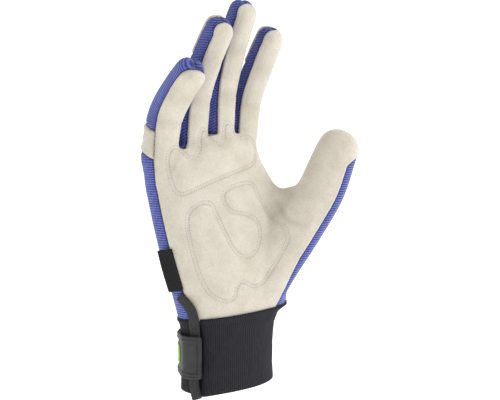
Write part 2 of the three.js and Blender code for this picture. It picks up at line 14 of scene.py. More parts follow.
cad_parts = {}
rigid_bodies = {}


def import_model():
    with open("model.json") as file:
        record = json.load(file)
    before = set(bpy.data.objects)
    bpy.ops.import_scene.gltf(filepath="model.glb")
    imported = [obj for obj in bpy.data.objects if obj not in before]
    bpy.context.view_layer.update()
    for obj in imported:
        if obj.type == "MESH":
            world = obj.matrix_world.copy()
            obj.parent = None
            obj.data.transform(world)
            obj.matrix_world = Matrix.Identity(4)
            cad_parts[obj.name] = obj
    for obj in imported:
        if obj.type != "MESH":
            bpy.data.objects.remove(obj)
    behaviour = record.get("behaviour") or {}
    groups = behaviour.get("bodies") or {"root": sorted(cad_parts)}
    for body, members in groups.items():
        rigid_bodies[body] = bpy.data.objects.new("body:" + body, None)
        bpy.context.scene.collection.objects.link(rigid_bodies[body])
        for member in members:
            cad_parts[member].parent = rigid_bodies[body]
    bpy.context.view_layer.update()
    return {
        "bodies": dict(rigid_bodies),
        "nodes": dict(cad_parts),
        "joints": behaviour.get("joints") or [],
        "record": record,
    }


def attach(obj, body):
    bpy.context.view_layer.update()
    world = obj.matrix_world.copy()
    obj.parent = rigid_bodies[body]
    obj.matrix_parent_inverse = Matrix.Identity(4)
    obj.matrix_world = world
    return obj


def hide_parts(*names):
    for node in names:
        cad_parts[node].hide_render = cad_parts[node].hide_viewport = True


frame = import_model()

# Camera
# A long lens at the height of the palm, from the little finger's side, as the photo was taken.
AZIMUTH = math.radians(-30)
RISE = math.radians(4)
DISTANCE = 0.8722
TARGET = Vector((0.866 * 0.0138, -0.5 * 0.0138, 0.1152))
camera = bpy.data.objects.new("camera", bpy.data.cameras.new("camera"))
bpy.context.collection.objects.link(camera)
camera.data.lens = 100
camera.data.sensor_width = 36
camera.data.clip_start = 0.01
out = Vector((math.sin(AZIMUTH) * math.cos(RISE), -math.cos(AZIMUTH) * math.cos(RISE), math.sin(RISE)))
camera.location = TARGET + out * DISTANCE
camera.rotation_euler = (TARGET - camera.location).to_track_quat("-Z", "Y").to_euler()
bpy.context.scene.camera = camera

# The skin
# The outside of the filled glove. The palm, the fingers, the thumb and the web between thumb and index
# finger are rounded bodies that run into each other, and all the sewn panels are cut from their skin.
HAND_LENGTH = 200
PALM_WIDTH = 82
PALM_DEPTH = 34
FINGER_WIDTH = 19
FINGER_DEPTH = 22.5
THUMB_WIDTH = 29
THUMB_DEPTH = 25
CUFF_HEIGHT = 44
GRAIN = 1.0  # size of the skin's faces
JOINED = 1.22  # where two bodies are both nearer than this outness, their join is smoothed

# Sections of the palm: height above the cuff as a share of the hand's length, the two edges as shares of
# the palm's width, front and back as shares of its depth, its tilt, how far its edges drop in mm, the
# power of its outline, and where the palm panel ends at either side, as shares of the half depth.
PALM = [
    # up, ulnar, radial, front, back, slope, arch, square, seam_ulnar, seam_radial
    (-0.06, -0.385, 0.47, -0.62, 0.62, 0.1, 0, 2.2, -0.42, -0.86),
    (0, -0.405, 0.482, -0.62, 0.62, 0.1, 0, 2.2, -0.42, -0.86),
    (0.1, -0.48, 0.518, -0.6, 0.56, 0.09, 0, 2.2, -0.4, -0.84),
    (0.2, -0.56, 0.504, -0.59, 0.54, 0.07, 0, 2.3, -0.38, -0.7),
    (0.3, -0.618, 0.46, -0.54, 0.56, 0.06, 0, 2.3, -0.38, -0.6),
    (0.4, -0.665, 0.375, -0.5, 0.55, 0.08, 0, 2.4, -0.4, 0.45),
    (0.48, -0.69, 0.275, -0.46, 0.5, 0.16, 4, 2.4, -0.45, 0.5),
    (0.545, -0.675, 0.23, -0.42, 0.45, 0.18, 6, 2.4, -0.5, 0.5),
    (0.578, -0.62, 0.2, -0.3, 0.36, 0.18, 8, 2.4, -0.5, 0.5),
]
# Fingers: place of the knuckle as shares of the palm's width, depth and the hand's length, length from
# knuckle to tip, width, lean to the thumb side, bends of the three joints, and where the palm panel ends
# on the little finger's side, on the thumb's side and at the tip.
FINGERS = {
    # side, depth, up, long, wide, splay, flex1, flex2, flex3, seam_ulnar, seam_radial, seam_tip
    "index": (0.123, 0.09, 0.5, 0.425, 0.93, 7, 1, 26, 5, 0, 0.35, 0),
    "middle": (-0.091, 0.045, 0.505, 0.495, 0.94, 3, 2, 21, 8, 0, 0, 0),
    "ring": (-0.325, 0.03, 0.5, 0.46, 0.98, 3.5, 3, 27, 10, 0, 0, 0),
    "little": (-0.602, -0.05, 0.472, 0.375, 1.08, 7.5, 2, 38, 13, -0.75, 0, -0.35),
}
BONES = (0.38, 0.33, 0.29)  # shares of a finger's length between its joints
ROOT = 0.12  # how far a finger starts below its knuckle, a share of the hand's length
# Joints of the thumb, from its base to its tip, as shares of the palm's width, depth and hand's length.
THUMB = [
    (0.218, -0.18, 0.064),
    (0.345, -0.35, 0.168),
    (0.485, -0.62, 0.278),
    (0.632, -0.79, 0.384),
    (0.724, -0.94, 0.498),
    (0.79, -1.06, 0.571),
]
# Top edge of the web between the index finger and the thumb, and its thickness as a share of palm depth.
WEB = [
    # side, depth, up, thick
    (0.235, 0, 0.49, 0.5),
    (0.28, -0.06, 0.452, 0.47),
    (0.34, -0.18, 0.412, 0.41),
    (0.409, -0.34, 0.394, 0.38),
    (0.475, -0.5, 0.402, 0.4),
    (0.53, -0.65, 0.412, 0.4),
]
WEB_DROP = 0.22  # height of the web's section, a share of the hand's length
WEB_SQUARE = 2.4  # power of its outline
PALM_FADE = 15  # mm above the palm's last row in which its outness rises by one
LIMB_FADE = 8  # the same below the root of a finger or the thumb, and beyond the web's ends
TIP_SQUARE = 2.3  # power of a fingertip's outline
ROOT_DRAW = 0.85  # the fingers start closer together than their knuckles, by this share
ROOT_SHIFT = 0.03  # and this far to the little finger's side, a share of the palm's width
ROOT_BEHIND = 4  # and this far behind them


def smooth_rows(rows, steps):
    """The rows of a table and, between each two, further rows on a smooth curve through them."""
    p = np.array(rows, float)
    p = np.vstack([2 * p[0] - p[1], p, 2 * p[-1] - p[-2]])
    t = np.linspace(0, 1, steps, endpoint=False)[:, None]
    parts = []
    for a, b, c, d in zip(p, p[1:], p[2:], p[3:]):
        begin, end = (c - a) / 2, (d - b) / 2
        ease = t * t * (3 - 2 * t)
        parts.append((1 - ease) * b + ease * c + t * (1 - t) ** 2 * begin - t * t * (1 - t) * end)
    return np.vstack(parts + [p[-2]])


def even_line(points, count):
    """Evenly spaced points on a smooth line through the given ones, and its length."""
    line = smooth_rows(points, 30)
    walked = np.r_[0, np.cumsum(np.linalg.norm(np.diff(line, axis=0), axis=1))]
    at = np.linspace(0, walked[-1], count)
    return np.column_stack([np.interp(at, walked, column) for column in line.T]), walked[-1]


def smoothstep(value, low, high):
    t = np.clip((value - low) / (high - low), 0, 1)
    return t * t * (3 - 2 * t)


def norm(a, b, power):
    return (np.abs(a) ** power + np.abs(b) ** power) ** (1 / power)


class Limb:
    """A finger or the thumb: a middle line, axes across and behind it, and half sizes."""

    COUNT = 161

    def __init__(self, joints, across, half_sizes, square, blunt):
        self.line, self.length = even_line(joints, self.COUNT)
        self.tangent = np.gradient(self.line, axis=0)
        self.tangent /= np.linalg.norm(self.tangent, axis=1)[:, None]
        across = np.array(across, float)
        self.across = across - (self.tangent @ across)[:, None] * self.tangent
        self.across /= np.linalg.norm(self.across, axis=1)[:, None]
        self.behind = np.cross(self.tangent, self.across)
        self.half = np.array([half_sizes(u) for u in np.linspace(0, 1, self.COUNT)])
        self.square = square
        self.round = self.half[-1, 1] * blunt

    def at(self, array, index):
        low = np.clip(np.floor(index).astype(int), 0, self.COUNT - 2)
        part = np.clip(index - low, 0, 1)
        if array.ndim > 1:
            part = part[:, None]
        return array[low] * (1 - part) + array[low + 1] * part

    def local(self, points):
        """Share along the limb, distances across and behind, half sizes, and outness: 1 on the skin."""
        far = (self.line**2).sum(1) - 2 * points @ self.line.T
        index = far.argmin(1).astype(float)
        step = self.length / (self.COUNT - 1)
        whole = index.astype(int)
        index += ((points - self.line[whole]) * self.tangent[whole]).sum(1) / step
        offset = points - self.at(self.line, index)
        q = (offset * self.at(self.across, index)).sum(1)
        p = (offset * self.at(self.behind, index)).sum(1)
        half = self.at(self.half, index)
        out = norm(q / half[:, 0], p / half[:, 1], self.square)
        end = np.maximum(0, index * step - self.length + self.round) / self.round
        out = norm(out, end, TIP_SQUARE) + np.maximum(0, -index * step) / LIMB_FADE
        return index / (self.COUNT - 1), q, p, half, out

    def rings(self, count):
        """Centres, axes and half sizes of the rings that shape the limb."""
        stop = self.length - self.round
        stations = [(s, 1.0) for s in np.linspace(0, stop, count)]
        for x in (0.25, 0.5, 0.7, 0.85, 0.94, 0.985):
            stations.append((stop + self.round * x, (1 - x**TIP_SQUARE) ** (1 / TIP_SQUARE)))
        for s, narrow in stations:
            index = np.array([s / self.length * (self.COUNT - 1)])
            yield (
                self.at(self.line, index)[0],
                self.at(self.across, index)[0],
                self.at(self.behind, index)[0],
                self.at(self.half, index)[0] * narrow,
            )


def place(side, depth, up):
    return np.array([side * PALM_WIDTH, depth * PALM_DEPTH, CUFF_HEIGHT + up * HAND_LENGTH])


def finger(side, depth, up, long, wide, splay, flex1, flex2, flex3, *seams):
    lean = math.radians(splay)
    straight = Vector((math.sin(lean), 0, math.cos(lean)))
    across = Vector((straight.z, 0, -straight.x))
    knuckle = Vector(place(side, depth, up))
    root = Vector((
        knuckle.x * ROOT_DRAW - PALM_WIDTH * ROOT_SHIFT,
        knuckle.y + ROOT_BEHIND,
        knuckle.z - ROOT * HAND_LENGTH,
    ))
    joints = [root, knuckle]
    bend = 0
    for share, flex in zip(BONES, (flex1, flex2, flex3)):
        bend += flex
        bone = Matrix.Rotation(math.radians(bend), 3, across) @ straight
        joints.append(joints[-1] + bone * share * long * HAND_LENGTH)

    def half_sizes(u):
        slim = 0.6 + 0.36 * smoothstep(u, 0, 0.34)
        slim = slim + 0.04 * math.sin(math.pi * u / 0.55) if u < 0.55 else 0.96 - 0.14 * (u - 0.55) / 0.45
        return wide * FINGER_WIDTH * slim / 2, FINGER_DEPTH * slim / 2

    return Limb(joints, across, half_sizes, 2.6, 0.82)


def thumb_sizes(u):
    slim = 1.13 - 0.2 * max(0, u - 0.3) / 0.7 - 0.07 * smoothstep(u, 0.7, 1)
    return THUMB_WIDTH * slim / 2, THUMB_DEPTH * slim / 2


fingers = {name: finger(*row) for name, row in FINGERS.items()}
thumb = Limb([place(*row) for row in THUMB], (0.8, -0.5, -0.3), thumb_sizes, 2.3, 1.15)
palm_rows = smooth_rows(PALM, 6)


def palm_at(up):
    """The row of the palm's table at each height."""
    return [np.interp(up, palm_rows[:, 0], column) for column in palm_rows.T]


def palm_local(points):
    """The same on the palm, with its height first and the place of its seam last."""
    x, y, z = points.T
    up = (z - CUFF_HEIGHT) / HAND_LENGTH
    for _ in range(4):
        _, ulnar, radial, _, _, slope, arch, *_ = palm_at(up)
        left, right = ulnar * PALM_WIDTH, radial * PALM_WIDTH
        a, q = (right - left) / 2, x - (left + right) / 2
        up = (z - CUFF_HEIGHT - slope * x + arch * np.minimum(1.5, q / a) ** 2) / HAND_LENGTH
    _, _, _, front, back, _, _, square, seam_ulnar, seam_radial = palm_at(up)
    front, back = front * PALM_DEPTH, back * PALM_DEPTH
    b, p = (back - front) / 2, y - (front + back) / 2
    out = norm(q / a, p / b, square) + np.maximum(0, up - PALM[-1][0]) * HAND_LENGTH / PALM_FADE
    side = smoothstep(q, -0.3 * a, 0.3 * a)
    seam = (seam_ulnar * (1 - side) + seam_radial * side) * b
    return up, q, p, (a, b), out, seam


def web_rows():
    tops = np.array([place(*row[:3]) for row in WEB])
    fine = smooth_rows(np.column_stack([tops, [row[3] for row in WEB]]), 6)
    across = np.gradient(fine[:, :3], axis=0)
    across[:, 2] = 0
    across /= np.linalg.norm(across, axis=1)[:, None]
    behind = np.column_stack([-across[:, 1], across[:, 0], np.zeros(len(fine))])
    return fine[:, :3], across, behind, fine[:, 3] * PALM_DEPTH / 2


def ring(bm, centre, across, behind, half, square, sides=32):
    """A closed ring of edges with a rounded-square outline."""
    verts = bmesh.ops.create_circle(bm, segments=sides, radius=1)["verts"]
    for v in verts:
        angle = math.atan2(v.co.y, v.co.x)
        c, s = math.cos(angle), math.sin(angle)
        q = half[0] * math.copysign(abs(c) ** (2 / square), c)
        p = half[1] * math.copysign(abs(s) ** (2 / square), s)
        v.co = Vector(centre + across * q + behind * p)
    return list({e for v in verts for e in v.link_edges})


def bridge(bm, loops):
    """Faces between each loop of edges and the next, and the first and the last one filled."""
    for one, other in zip(loops, loops[1:]):
        bmesh.ops.bridge_loops(bm, edges=one + other)
    for end in (loops[0], loops[-1]):
        bmesh.ops.contextual_create(bm, geom=end)


def temporary(bm):
    mesh = bpy.data.meshes.new("temporary")
    bm.to_mesh(mesh)
    bm.free()
    return bpy.data.objects.new("temporary", mesh)


def modified(bm, kind, **settings):
    """The mesh after one modifier."""
    thing = temporary(bm)
    bpy.context.collection.objects.link(thing)
    modifier = thing.modifiers.new(kind, kind)
    for key, value in settings.items():
        setattr(modifier, key, value)
    shaped = thing.evaluated_get(bpy.context.evaluated_depsgraph_get())
    result = bmesh.new()
    result.from_mesh(shaped.to_mesh())
    shaped.to_mesh_clear()
    mesh = thing.data
    bpy.data.objects.remove(thing)
    bpy.data.meshes.remove(mesh)
    return result


skin = bmesh.new()
for limb in [*fingers.values(), thumb]:
    bridge(skin, [ring(skin, *station, limb.square) for station in limb.rings(22)])
loops = []
for up, ulnar, radial, front, back, slope, arch, square, *_ in palm_rows:
    centre = (ulnar + radial) / 2 * PALM_WIDTH
    half = np.array([(radial - ulnar) * PALM_WIDTH, (back - front) * PALM_DEPTH]) / 2
    middle = np.array([centre, (front + back) / 2 * PALM_DEPTH, 0])
    edges = ring(skin, middle, np.array([1, 0, 0]), np.array([0, 1, 0]), half, square, 48)
    for v in {v for e in edges for v in e.verts}:
        v.co.z = CUFF_HEIGHT + up * HAND_LENGTH + slope * v.co.x - arch * ((v.co.x - centre) / half[0]) ** 2
    loops.append(edges)
bridge(skin, loops)
tall = WEB_DROP * HAND_LENGTH / 2
loops = []
for top, across, behind, half in zip(*web_rows()):
    middle = top - np.array([0, 0, tall])
    loops.append(ring(skin, middle, behind, np.array([0, 0, 1.0]), (half, tall), WEB_SQUARE))
bridge(skin, loops)
bmesh.ops.recalc_face_normals(skin, faces=skin.faces)
skin = modified(skin, "REMESH", mode="VOXEL", voxel_size=GRAIN, use_smooth_shade=True)


def points_of(bm):
    return np.array([v.co for v in bm.verts])


def nearness(points):
    """How far out of each body the points lie: a row for the palm, the thumb, the web and each finger."""
    tops, across, behind, half = web_rows()
    flat = (tops[:, :2] ** 2).sum(1) - 2 * points[:, :2] @ tops[:, :2].T
    near = flat.argmin(1)
    offset = points - tops[near]
    p = (offset * behind[near]).sum(1)
    along = (offset * across[near]).sum(1)
    web = norm(p / half[near], (offset[:, 2] + tall) / tall, WEB_SQUARE)
    web += np.maximum(0, np.abs(along) - 2) / LIMB_FADE
    return {
        "palm": palm_local(points),
        "web": (p, half[near], web),
        "thumb": thumb.local(points),
        **{name: limb.local(points) for name, limb in fingers.items()},
    }


def smooth(bm, times, verts=None):
    for _ in range(times):
        bmesh.ops.smooth_vert(
            bm, verts=verts or bm.verts, factor=0.5, use_axis_x=True, use_axis_y=True, use_axis_z=True
        )


smooth(skin, 4)
bodies = nearness(points_of(skin))
outness = np.array([body[-2] if name == "palm" else body[-1] for name, body in bodies.items()])
second_outness = np.sort(outness, axis=0)[1]
skin.verts.ensure_lookup_table()
smooth(skin, 30, [v for v, second in zip(skin.verts, second_outness) if second < JOINED])
smooth(skin, 3)

# Seam lines
# Where one panel ends and the next begins, as fields that are zero along the seam: side strips between
# the fingers, the palm panel's edge, the two edges of the knuckle band, and the fingertip caps.
# Edges of the side strips in degrees round from the side of the finger: towards the front on its ulnar and
# on its thumb side, each at its root and at its tip, and towards the back at its tip.
FLANKS = {
    "index": ((40, 22), (34, 34), 34),
    "middle": ((54, 32), (34, 34), 60),
    "ring": ((46, 40), (34, 34), 34),
    "little": ((58, 42), (34, 34), 60),
}
STRIP_BACK = 50
STRIP_WRAP = 0.65  # how much of its front half is left off where a strip runs over the fingertip
CROTCH = (155.5, 157, 144)  # height at which each strip ends between its two fingers
CAP_FROM = 0.736  # share of the finger's length where its cap begins
CAP_EDGES = {"index": 0, "middle": 0.4, "ring": 0}  # where it ends towards the front, shares of half depth
CAP_DRAW = 0.6  # and how much further back it ends over the tip
BAND = [
    # side, low, high
    (-0.95, 0.512, 0.59),
    (-0.68, 0.508, 0.59),
    (-0.46, 0.455, 0.595),
    (-0.2, 0.47, 0.615),
    (0.12, 0.47, 0.61),
    (0.5, 0.46, 0.6),
]
BAND_RISE = 0.35
# Where the front panel ends on the thumb's outer side at shares of its length, on its inner side and over
# its tip, as shares of its half depth.
THUMB_SEAM = [
    # along, share of the half depth
    (0, -0.48),
    (0.3, -0.75),
    (0.5, -0.74),
    (0.75, -0.765),
]
THUMB_SEAM_INNER = 0.5
THUMB_SEAM_TIP = 0.5
BAND_END = 38  # the band stops short of the thumb, this far to its side
WEB_SEAM = 0.4  # the same on the web
BLEND = 0.05  # how softly the seams of two bodies run into each other
ROOT_FADE = 0.15  # share of a finger's length below which its seam gives way to the palm's
STRIP_PARTING = 0.15  # how far a strip stays from the middle lines of its two fingers
OUTNESS_SCALE = 8  # mm that stand for one unit of outness
DEGREES = 57.3  # in a radian
names = list(fingers)


def seam_fields(points):
    body = nearness(points)
    up, q, p, half, palm_out, palm_seam = body["palm"]
    fronts, weights = [p - palm_seam], [palm_out]
    p, half, out = body["web"]
    fronts.append(p - WEB_SEAM * half)
    weights.append(out)
    seams = {"thumb": (THUMB_SEAM_INNER, 0, THUMB_SEAM_TIP)}
    seams.update((name, row[9:]) for name, row in FINGERS.items())
    for name, (ulnar, radial, tip) in seams.items():
        u, q, p, half, out = body[name]
        if name == "thumb":
            radial = np.interp(u, *np.array(THUMB_SEAM).T)
        side = smoothstep(q / half[:, 0], -0.4, 0.4)
        root = ulnar * (1 - side) + radial * side
        reach = smoothstep(u, 0.82, 1) if name == "thumb" else smoothstep(u, 0.3, 0.9)
        share = root + (tip - root) * reach
        fronts.append(p - share * half[:, 1])
        weights.append(out + (0 if name == "thumb" else 3) * np.maximum(0, ROOT_FADE - u))
    weights = np.exp(-(np.array(weights) - np.min(weights, axis=0)) / BLEND)
    fields = {"front": (np.array(fronts) * weights).sum(0) / weights.sum(0)}
    for i, (one, other) in enumerate(zip(names, names[1:])):
        u1, q1, p1, half1, out1 = body[one]
        u2, q2, p2, half2, out2 = body[other]
        share = 1 / (1 + np.exp(np.clip((out2 - out1) / BLEND, -50, 50)))
        walls = []
        sides = (one, u1, -q1, p1, half1, 0), (other, u2, q2, p2, half2, 1)
        for name, u, q, p, half, side in sides:
            limb = fingers[name]
            over = np.clip(1 - (1 - u) * limb.length / limb.round, 0, 1)
            beside = norm(np.maximum(q, 0.1) / half[:, 0], over, TIP_SQUARE)
            turned = np.degrees(np.arctan2(p / half[:, 1], beside))
            along = smoothstep(u, 0.3, 0.9)
            root, tip = FLANKS[name][side]
            front = (root + (tip - root) * along) * (1 - STRIP_WRAP * over)
            back = STRIP_BACK + (FLANKS[name][2] - STRIP_BACK) * along
            walls.append(np.maximum(-front - turned, turned - back) * half[:, 1] / DEGREES)
        wall = walls[0] * (1 - share) + walls[1] * share
        parted = [q1 + STRIP_PARTING, STRIP_PARTING - q2]
        fields["strip" + str(i)] = np.max([wall, *parted, CROTCH[i] - points[:, 2]], axis=0)
        fields["fork" + str(i)] = (out1 - out2) * OUTNESS_SCALE
    x, y, z = points.T
    side, low, high = np.array(BAND).T
    rise = (z - CUFF_HEIGHT - BAND_RISE * y) / HAND_LENGTH
    under = (np.interp(x / PALM_WIDTH, side, low) - rise) * HAND_LENGTH
    fields["band_low"] = np.maximum(under, x - BAND_END)
    fields["band_high"] = (rise - np.interp(x / PALM_WIDTH, side, high)) * HAND_LENGTH
    for name, edge in CAP_EDGES.items():
        u, q, p, half, out = body[name]
        start = (CAP_FROM - u) * fingers[name].length
        front = (edge + CAP_DRAW * smoothstep(u, 0.86, 1)) * half[:, 1] - p
        fields["cap_" + name] = np.max([start, front, (out - 1.2) * OUTNESS_SCALE], axis=0)
    fields["wrist"] = z - CUFF_HEIGHT - 0.1 * x
    return fields


def cut(bm, name, where=None):
    """Divides the skin along one seam."""
    fields = seam_fields(points_of(bm))
    value = fields[name]
    allowed = where(fields) if where else np.ones(len(value), bool)
    bm.verts.index_update()
    bm.verts.ensure_lookup_table()
    for e in bm.edges:
        a, b = e.verts
        if allowed[a.index] and allowed[b.index] and value[a.index] * value[b.index] < 0:
            t = value[a.index] / (value[a.index] - value[b.index])
            near, share = (a, t) if t < 0.5 else (b, 1 - t)
            if share < 0.15:
                near.co = near.co.lerp(e.other_vert(near).co, share)
                value[near.index] = 0
    crossing = []
    for e in bm.edges:
        a, b = e.verts
        if allowed[a.index] and allowed[b.index] and value[a.index] * value[b.index] < 0:
            crossing.append((e, a, value[a.index] / (value[a.index] - value[b.index])))
    line = [v for v in bm.verts if value[v.index] == 0 and allowed[v.index]]
    line += [bmesh.utils.edge_split(e, a, t)[1] for e, a, t in crossing]
    bmesh.ops.connect_verts(bm, verts=line)


def off_strips(fields):
    return np.min([fields["strip0"], fields["strip1"], fields["strip2"]], axis=0) > -0.5


def behind_front(fields):
    return off_strips(fields) & (fields["front"] > -0.5)


def above_band(fields):
    return behind_front(fields) & (fields["band_high"] > -0.5)


cut(skin, "wrist")
fields = seam_fields(points_of(skin))
below = [v for v, height in zip(skin.verts, fields["wrist"]) if height < -0.02]
bmesh.ops.delete(skin, geom=below, context="VERTS")
for i in range(3):
    cut(skin, "strip" + str(i))
cut(skin, "front", off_strips)
cut(skin, "band_low", behind_front)
cut(skin, "band_high", behind_front)
for i in range(3):
    cut(skin, "fork" + str(i), above_band)
for name in names[:3]:
    cut(skin, "cap_" + name, above_band)

skin.verts.index_update()
skin.faces.ensure_lookup_table()
fields = seam_fields(points_of(skin))
mean = {
    key: np.array([np.mean([value[v.index] for v in f.verts]) for f in skin.faces])
    for key, value in fields.items()
}


def panel_of(i):
    for k, gap in enumerate(("index_middle", "middle_ring", "ring_little")):
        if mean["strip" + str(k)][i] < 0:
            return "side_strip_" + gap
    if mean["front"][i] < 0:
        return "palm_panel"
    if mean["band_low"][i] > 0:
        return "back_panel"
    if mean["band_high"][i] < 0:
        return "knuckle_band"
    k = next((k for k in range(3) if mean["fork" + str(k)][i] < 0), 3)
    cap = mean.get("cap_" + names[k])
    if cap is not None and cap[i] < 0:
        return "fingertip_cap_" + names[k]
    return "finger_back_" + names[k]


panels = [panel_of(i) for i in range(len(skin.faces))]

# Rolled edges, pads and folds
# At a seam both panels turn in, and the suede stands up a little beside it. Foam pads lift the palm, and
# the suede folds where the thumb moves and creases at the joints of the fingers.
SEAM_DEPTH = 0.9
ROLL = 0.5  # how far the suede stands up beside a seam
PAD_LIFT = 0.9
ROW_GAP = 2.2  # between the two rows of stitches round a pad
PADS = {
    # to the thumb's side, height
    "knuckle_pad": [
        (-44.5, 150.2), (-48.2, 147.2), (-49.5, 143.4), (-49.1, 138), (-47.1, 129.4), (-45.3, 124),
        (-42, 120.5), (-38.3, 120), (-33.7, 121.5), (-18.4, 127.7), (0.1, 133.5), (8.4, 135.9),
        (13.4, 138.9), (15.3, 144.3), (15.1, 150), (12.5, 153.9), (8.8, 156), (4, 155), (0.5, 157.5),
        (-2.6, 163.6), (-5.6, 164.9), (-8.3, 163.3), (-10, 156.5), (-11.9, 153), (-14.9, 152.1),
        (-17.8, 153.7), (-20, 158.8), (-22.2, 161.1), (-24.7, 160.3), (-26.1, 156.9), (-28.6, 148.4),
        (-31.2, 144.6), (-33.9, 144), (-36.5, 146.5), (-40, 150),
    ],
    "heel_pad": [
        (-24.7, 116.6), (-29.7, 115.6), (-35.2, 111.4), (-37.4, 106.1), (-37.1, 99.1), (-35.3, 88.9),
        (-32.1, 77.1), (-27.9, 66.7), (-22.5, 58.3), (-15.4, 54.1), (-10.6, 53.5), (-5.4, 56),
        (-4.1, 61.4), (-1.8, 64.8), (2.7, 63.3), (8.3, 61.4), (14.5, 64.2), (20.2, 72.9), (24.7, 82.5),
        (27.7, 91), (27.4, 95.5), (25.3, 101.9), (21.5, 107.5), (17, 114.2), (13, 120.8), (10.2, 125.6),
        (6.4, 127.6), (-0.4, 127.2), (-9.7, 124.3), (-13.5, 121), (-13.6, 116.2), (-11.1, 111.5),
        (-6.7, 108.2), (-1.4, 107.2), (5.1, 105.4), (10.2, 101.4), (11.7, 96.3), (10.9, 90.9),
        (7.6, 84.7), (2, 82.3), (-3.4, 84.5), (-7.6, 89.5), (-12.5, 99.1), (-17.3, 109.4), (-20.3, 114.9),
    ],
}
FOLDS = [
    # height, half width, where it runs
    (0.8, 2.8, [(31, -15.4, 118.2), (28.8, -26.3, 109.5), (33.5, -32.9, 103.6), (38.5, -36, 100.5)]),
    (-0.8, 2.2, [(28.3, -15, 113.2), (26.4, -24.3, 106.4), (28.6, -29, 103.5), (35.6, -34.2, 100.2)]),
    (-0.5, 2.6, [(33, -12, 121), (33.2, -17, 120), (34.5, -23, 118)]),
    (-0.45, 2.6, [(43, -27, 113), (45, -31, 115), (49, -33, 117)]),
    (-0.5, 2.5, [(12, -13, 150), (17, -11, 158), (21, -8, 164)]),
    (-0.45, 3, [(-4, -16, 131), (8, -15, 139), (18, -11, 145)]),
    (0.4, 4, [(-20, -17, 58), (-6, -20, 52), (8, -20, 56), (18, -20, 66)]),
]
CREASE_DEPTH = 0.4
RIPPLE = 0.28  # how uneven the suede lies
RIPPLE_SIZE = 11


def closed_line(points, spacing):
    """Evenly spaced points on a smooth closed line through the given ones."""
    points = np.array(points, float)
    line = smooth_rows(np.vstack([points[-1:], points, points[:2]]), 20)[20:-20]
    walked = np.r_[0, np.cumsum(np.linalg.norm(np.diff(line, axis=0), axis=1))]
    at = np.linspace(0, walked[-1], int(walked[-1] / spacing), endpoint=False)
    return np.column_stack([np.interp(at, walked, column) for column in line.T])


def inside(points, line):
    """Whether each point lies within the closed line."""
    x, y = points.T[:, :, None]
    (x1, y1), (x2, y2) = line.T, np.roll(line, -1, axis=0).T
    between = (y1 > y) != (y2 > y)
    steep = np.where(y2 == y1, 1e-9, y2 - y1)
    return (between & (x < x1 + (y - y1) * (x2 - x1) / steep)).sum(1) % 2 == 1


def distance_to(points, line):
    """Distance of each point to the nearest of the line's points."""
    near = kdtree.KDTree(len(line))
    for i, spot in enumerate(line):
        near.insert(spot if len(spot) == 3 else (*spot, 0), i)
    near.balance()
    return np.array([near.find(spot if len(spot) == 3 else (*spot, 0))[2] for spot in points])


suede_panels = ("palm_panel", "knuckle_band", "fingertip_cap")
seam_edges = [
    e for e in skin.edges
    if len(e.link_faces) == 2 and panels[e.link_faces[0].index] != panels[e.link_faces[1].index]
]
seam_points = np.array(list({v.co.to_tuple() for e in seam_edges for v in e.verts}))
skin.normal_update()
place_of = points_of(skin)
normals = np.array([v.normal for v in skin.verts])
seam_distance = distance_to(place_of, seam_points)
is_suede = np.array([
    any(panels[f.index].startswith(suede_panels) for f in v.link_faces) for v in skin.verts
])
is_front = np.array([any(panels[f.index] == "palm_panel" for f in v.link_faces) for v in skin.verts])
raised = ROLL * np.exp(-(((seam_distance - 1.6) / 1.1) ** 2))
raised -= SEAM_DEPTH * np.exp(-((seam_distance / 0.8) ** 2))
offset = np.where(is_suede, raised, -SEAM_DEPTH * np.exp(-((seam_distance / 1.6) ** 2)))
faces_out = is_front & (normals[:, 1] < 0.1) & (place_of[:, 1] < 6)
# Painted shade for the suede: darker in the pads' stitch grooves, in the valleys of the folds and round the
# finger joints.
shade = np.zeros(len(place_of))
for outline in PADS.values():
    line = closed_line(outline, 0.6)
    flat = place_of[faces_out][:, [0, 2]]
    depth = distance_to(flat, line) * np.where(inside(flat, line), 1, -1)
    groove = np.exp(-(((depth - ROW_GAP / 2) / 1.3) ** 2))
    offset[faces_out] += PAD_LIFT * smoothstep(depth, 1, 7) - 0.35 * groove
    shade[faces_out] += 0.1 * groove
for height, width, line in FOLDS:
    fold = np.exp(-((distance_to(place_of, even_line(line, 60)[0]) / width) ** 2)) * is_front
    offset += height * fold
    shade -= np.minimum(0, height) * fold * 0.35
for name, row in FINGERS.items():
    u, q, p, half, out = fingers[name].local(place_of)
    walked = u * fingers[name].length
    bones = np.cumsum(BONES[:2]) * row[3] * HAND_LENGTH
    for joint in fingers[name].length - row[3] * HAND_LENGTH + np.r_[0, bones]:
        near = is_front * (out < 1.15) * smoothstep(-p / half[:, 1], 0.2, 0.8)
        crease = near * np.exp(-(((walked - joint) / 2.6) ** 2))
        offset -= CREASE_DEPTH * crease * (1 + 0.5 * np.sin(walked * 1.9 + q * 0.5)) / 1.5
        shade += 0.25 * near * np.exp(-(((walked - joint) / 6) ** 2))
ripple = np.array([noise.noise(Vector(spot) / RIPPLE_SIZE) for spot in place_of])
offset += RIPPLE * ripple * is_suede * smoothstep(seam_distance, 1, 5)
for v, normal, far in zip(skin.verts, normals, offset):
    v.co += Vector(normal * far)
seam_layer = skin.verts.layers.float.new("seam")
shade_layer = skin.verts.layers.float.new("shade")
for v, distance, dark in zip(skin.verts, seam_distance, shade):
    v[seam_layer] = distance
    v[shade_layer] = min(1, dark)
skin_tree = BVHTree.FromBMesh(skin)

# Suede panels
# The palm with the fronts of the fingers and the thumb, the band over the knuckles and the fingertip caps
# are synthetic suede, 1.5 mm thick, cut to shape and sewn edge to edge with the knit.
SUEDE_COLOURS = ("#dfd8c9", "#d3cbba")
# Painted shade for the suede's folds, grooves and finger joints, and along its seams.
SUEDE_PAINTED_SHADE = "#a99f8c"
SUEDE_SEAM_SHADE = "#8d8678"
PANEL_WALL = 1.5


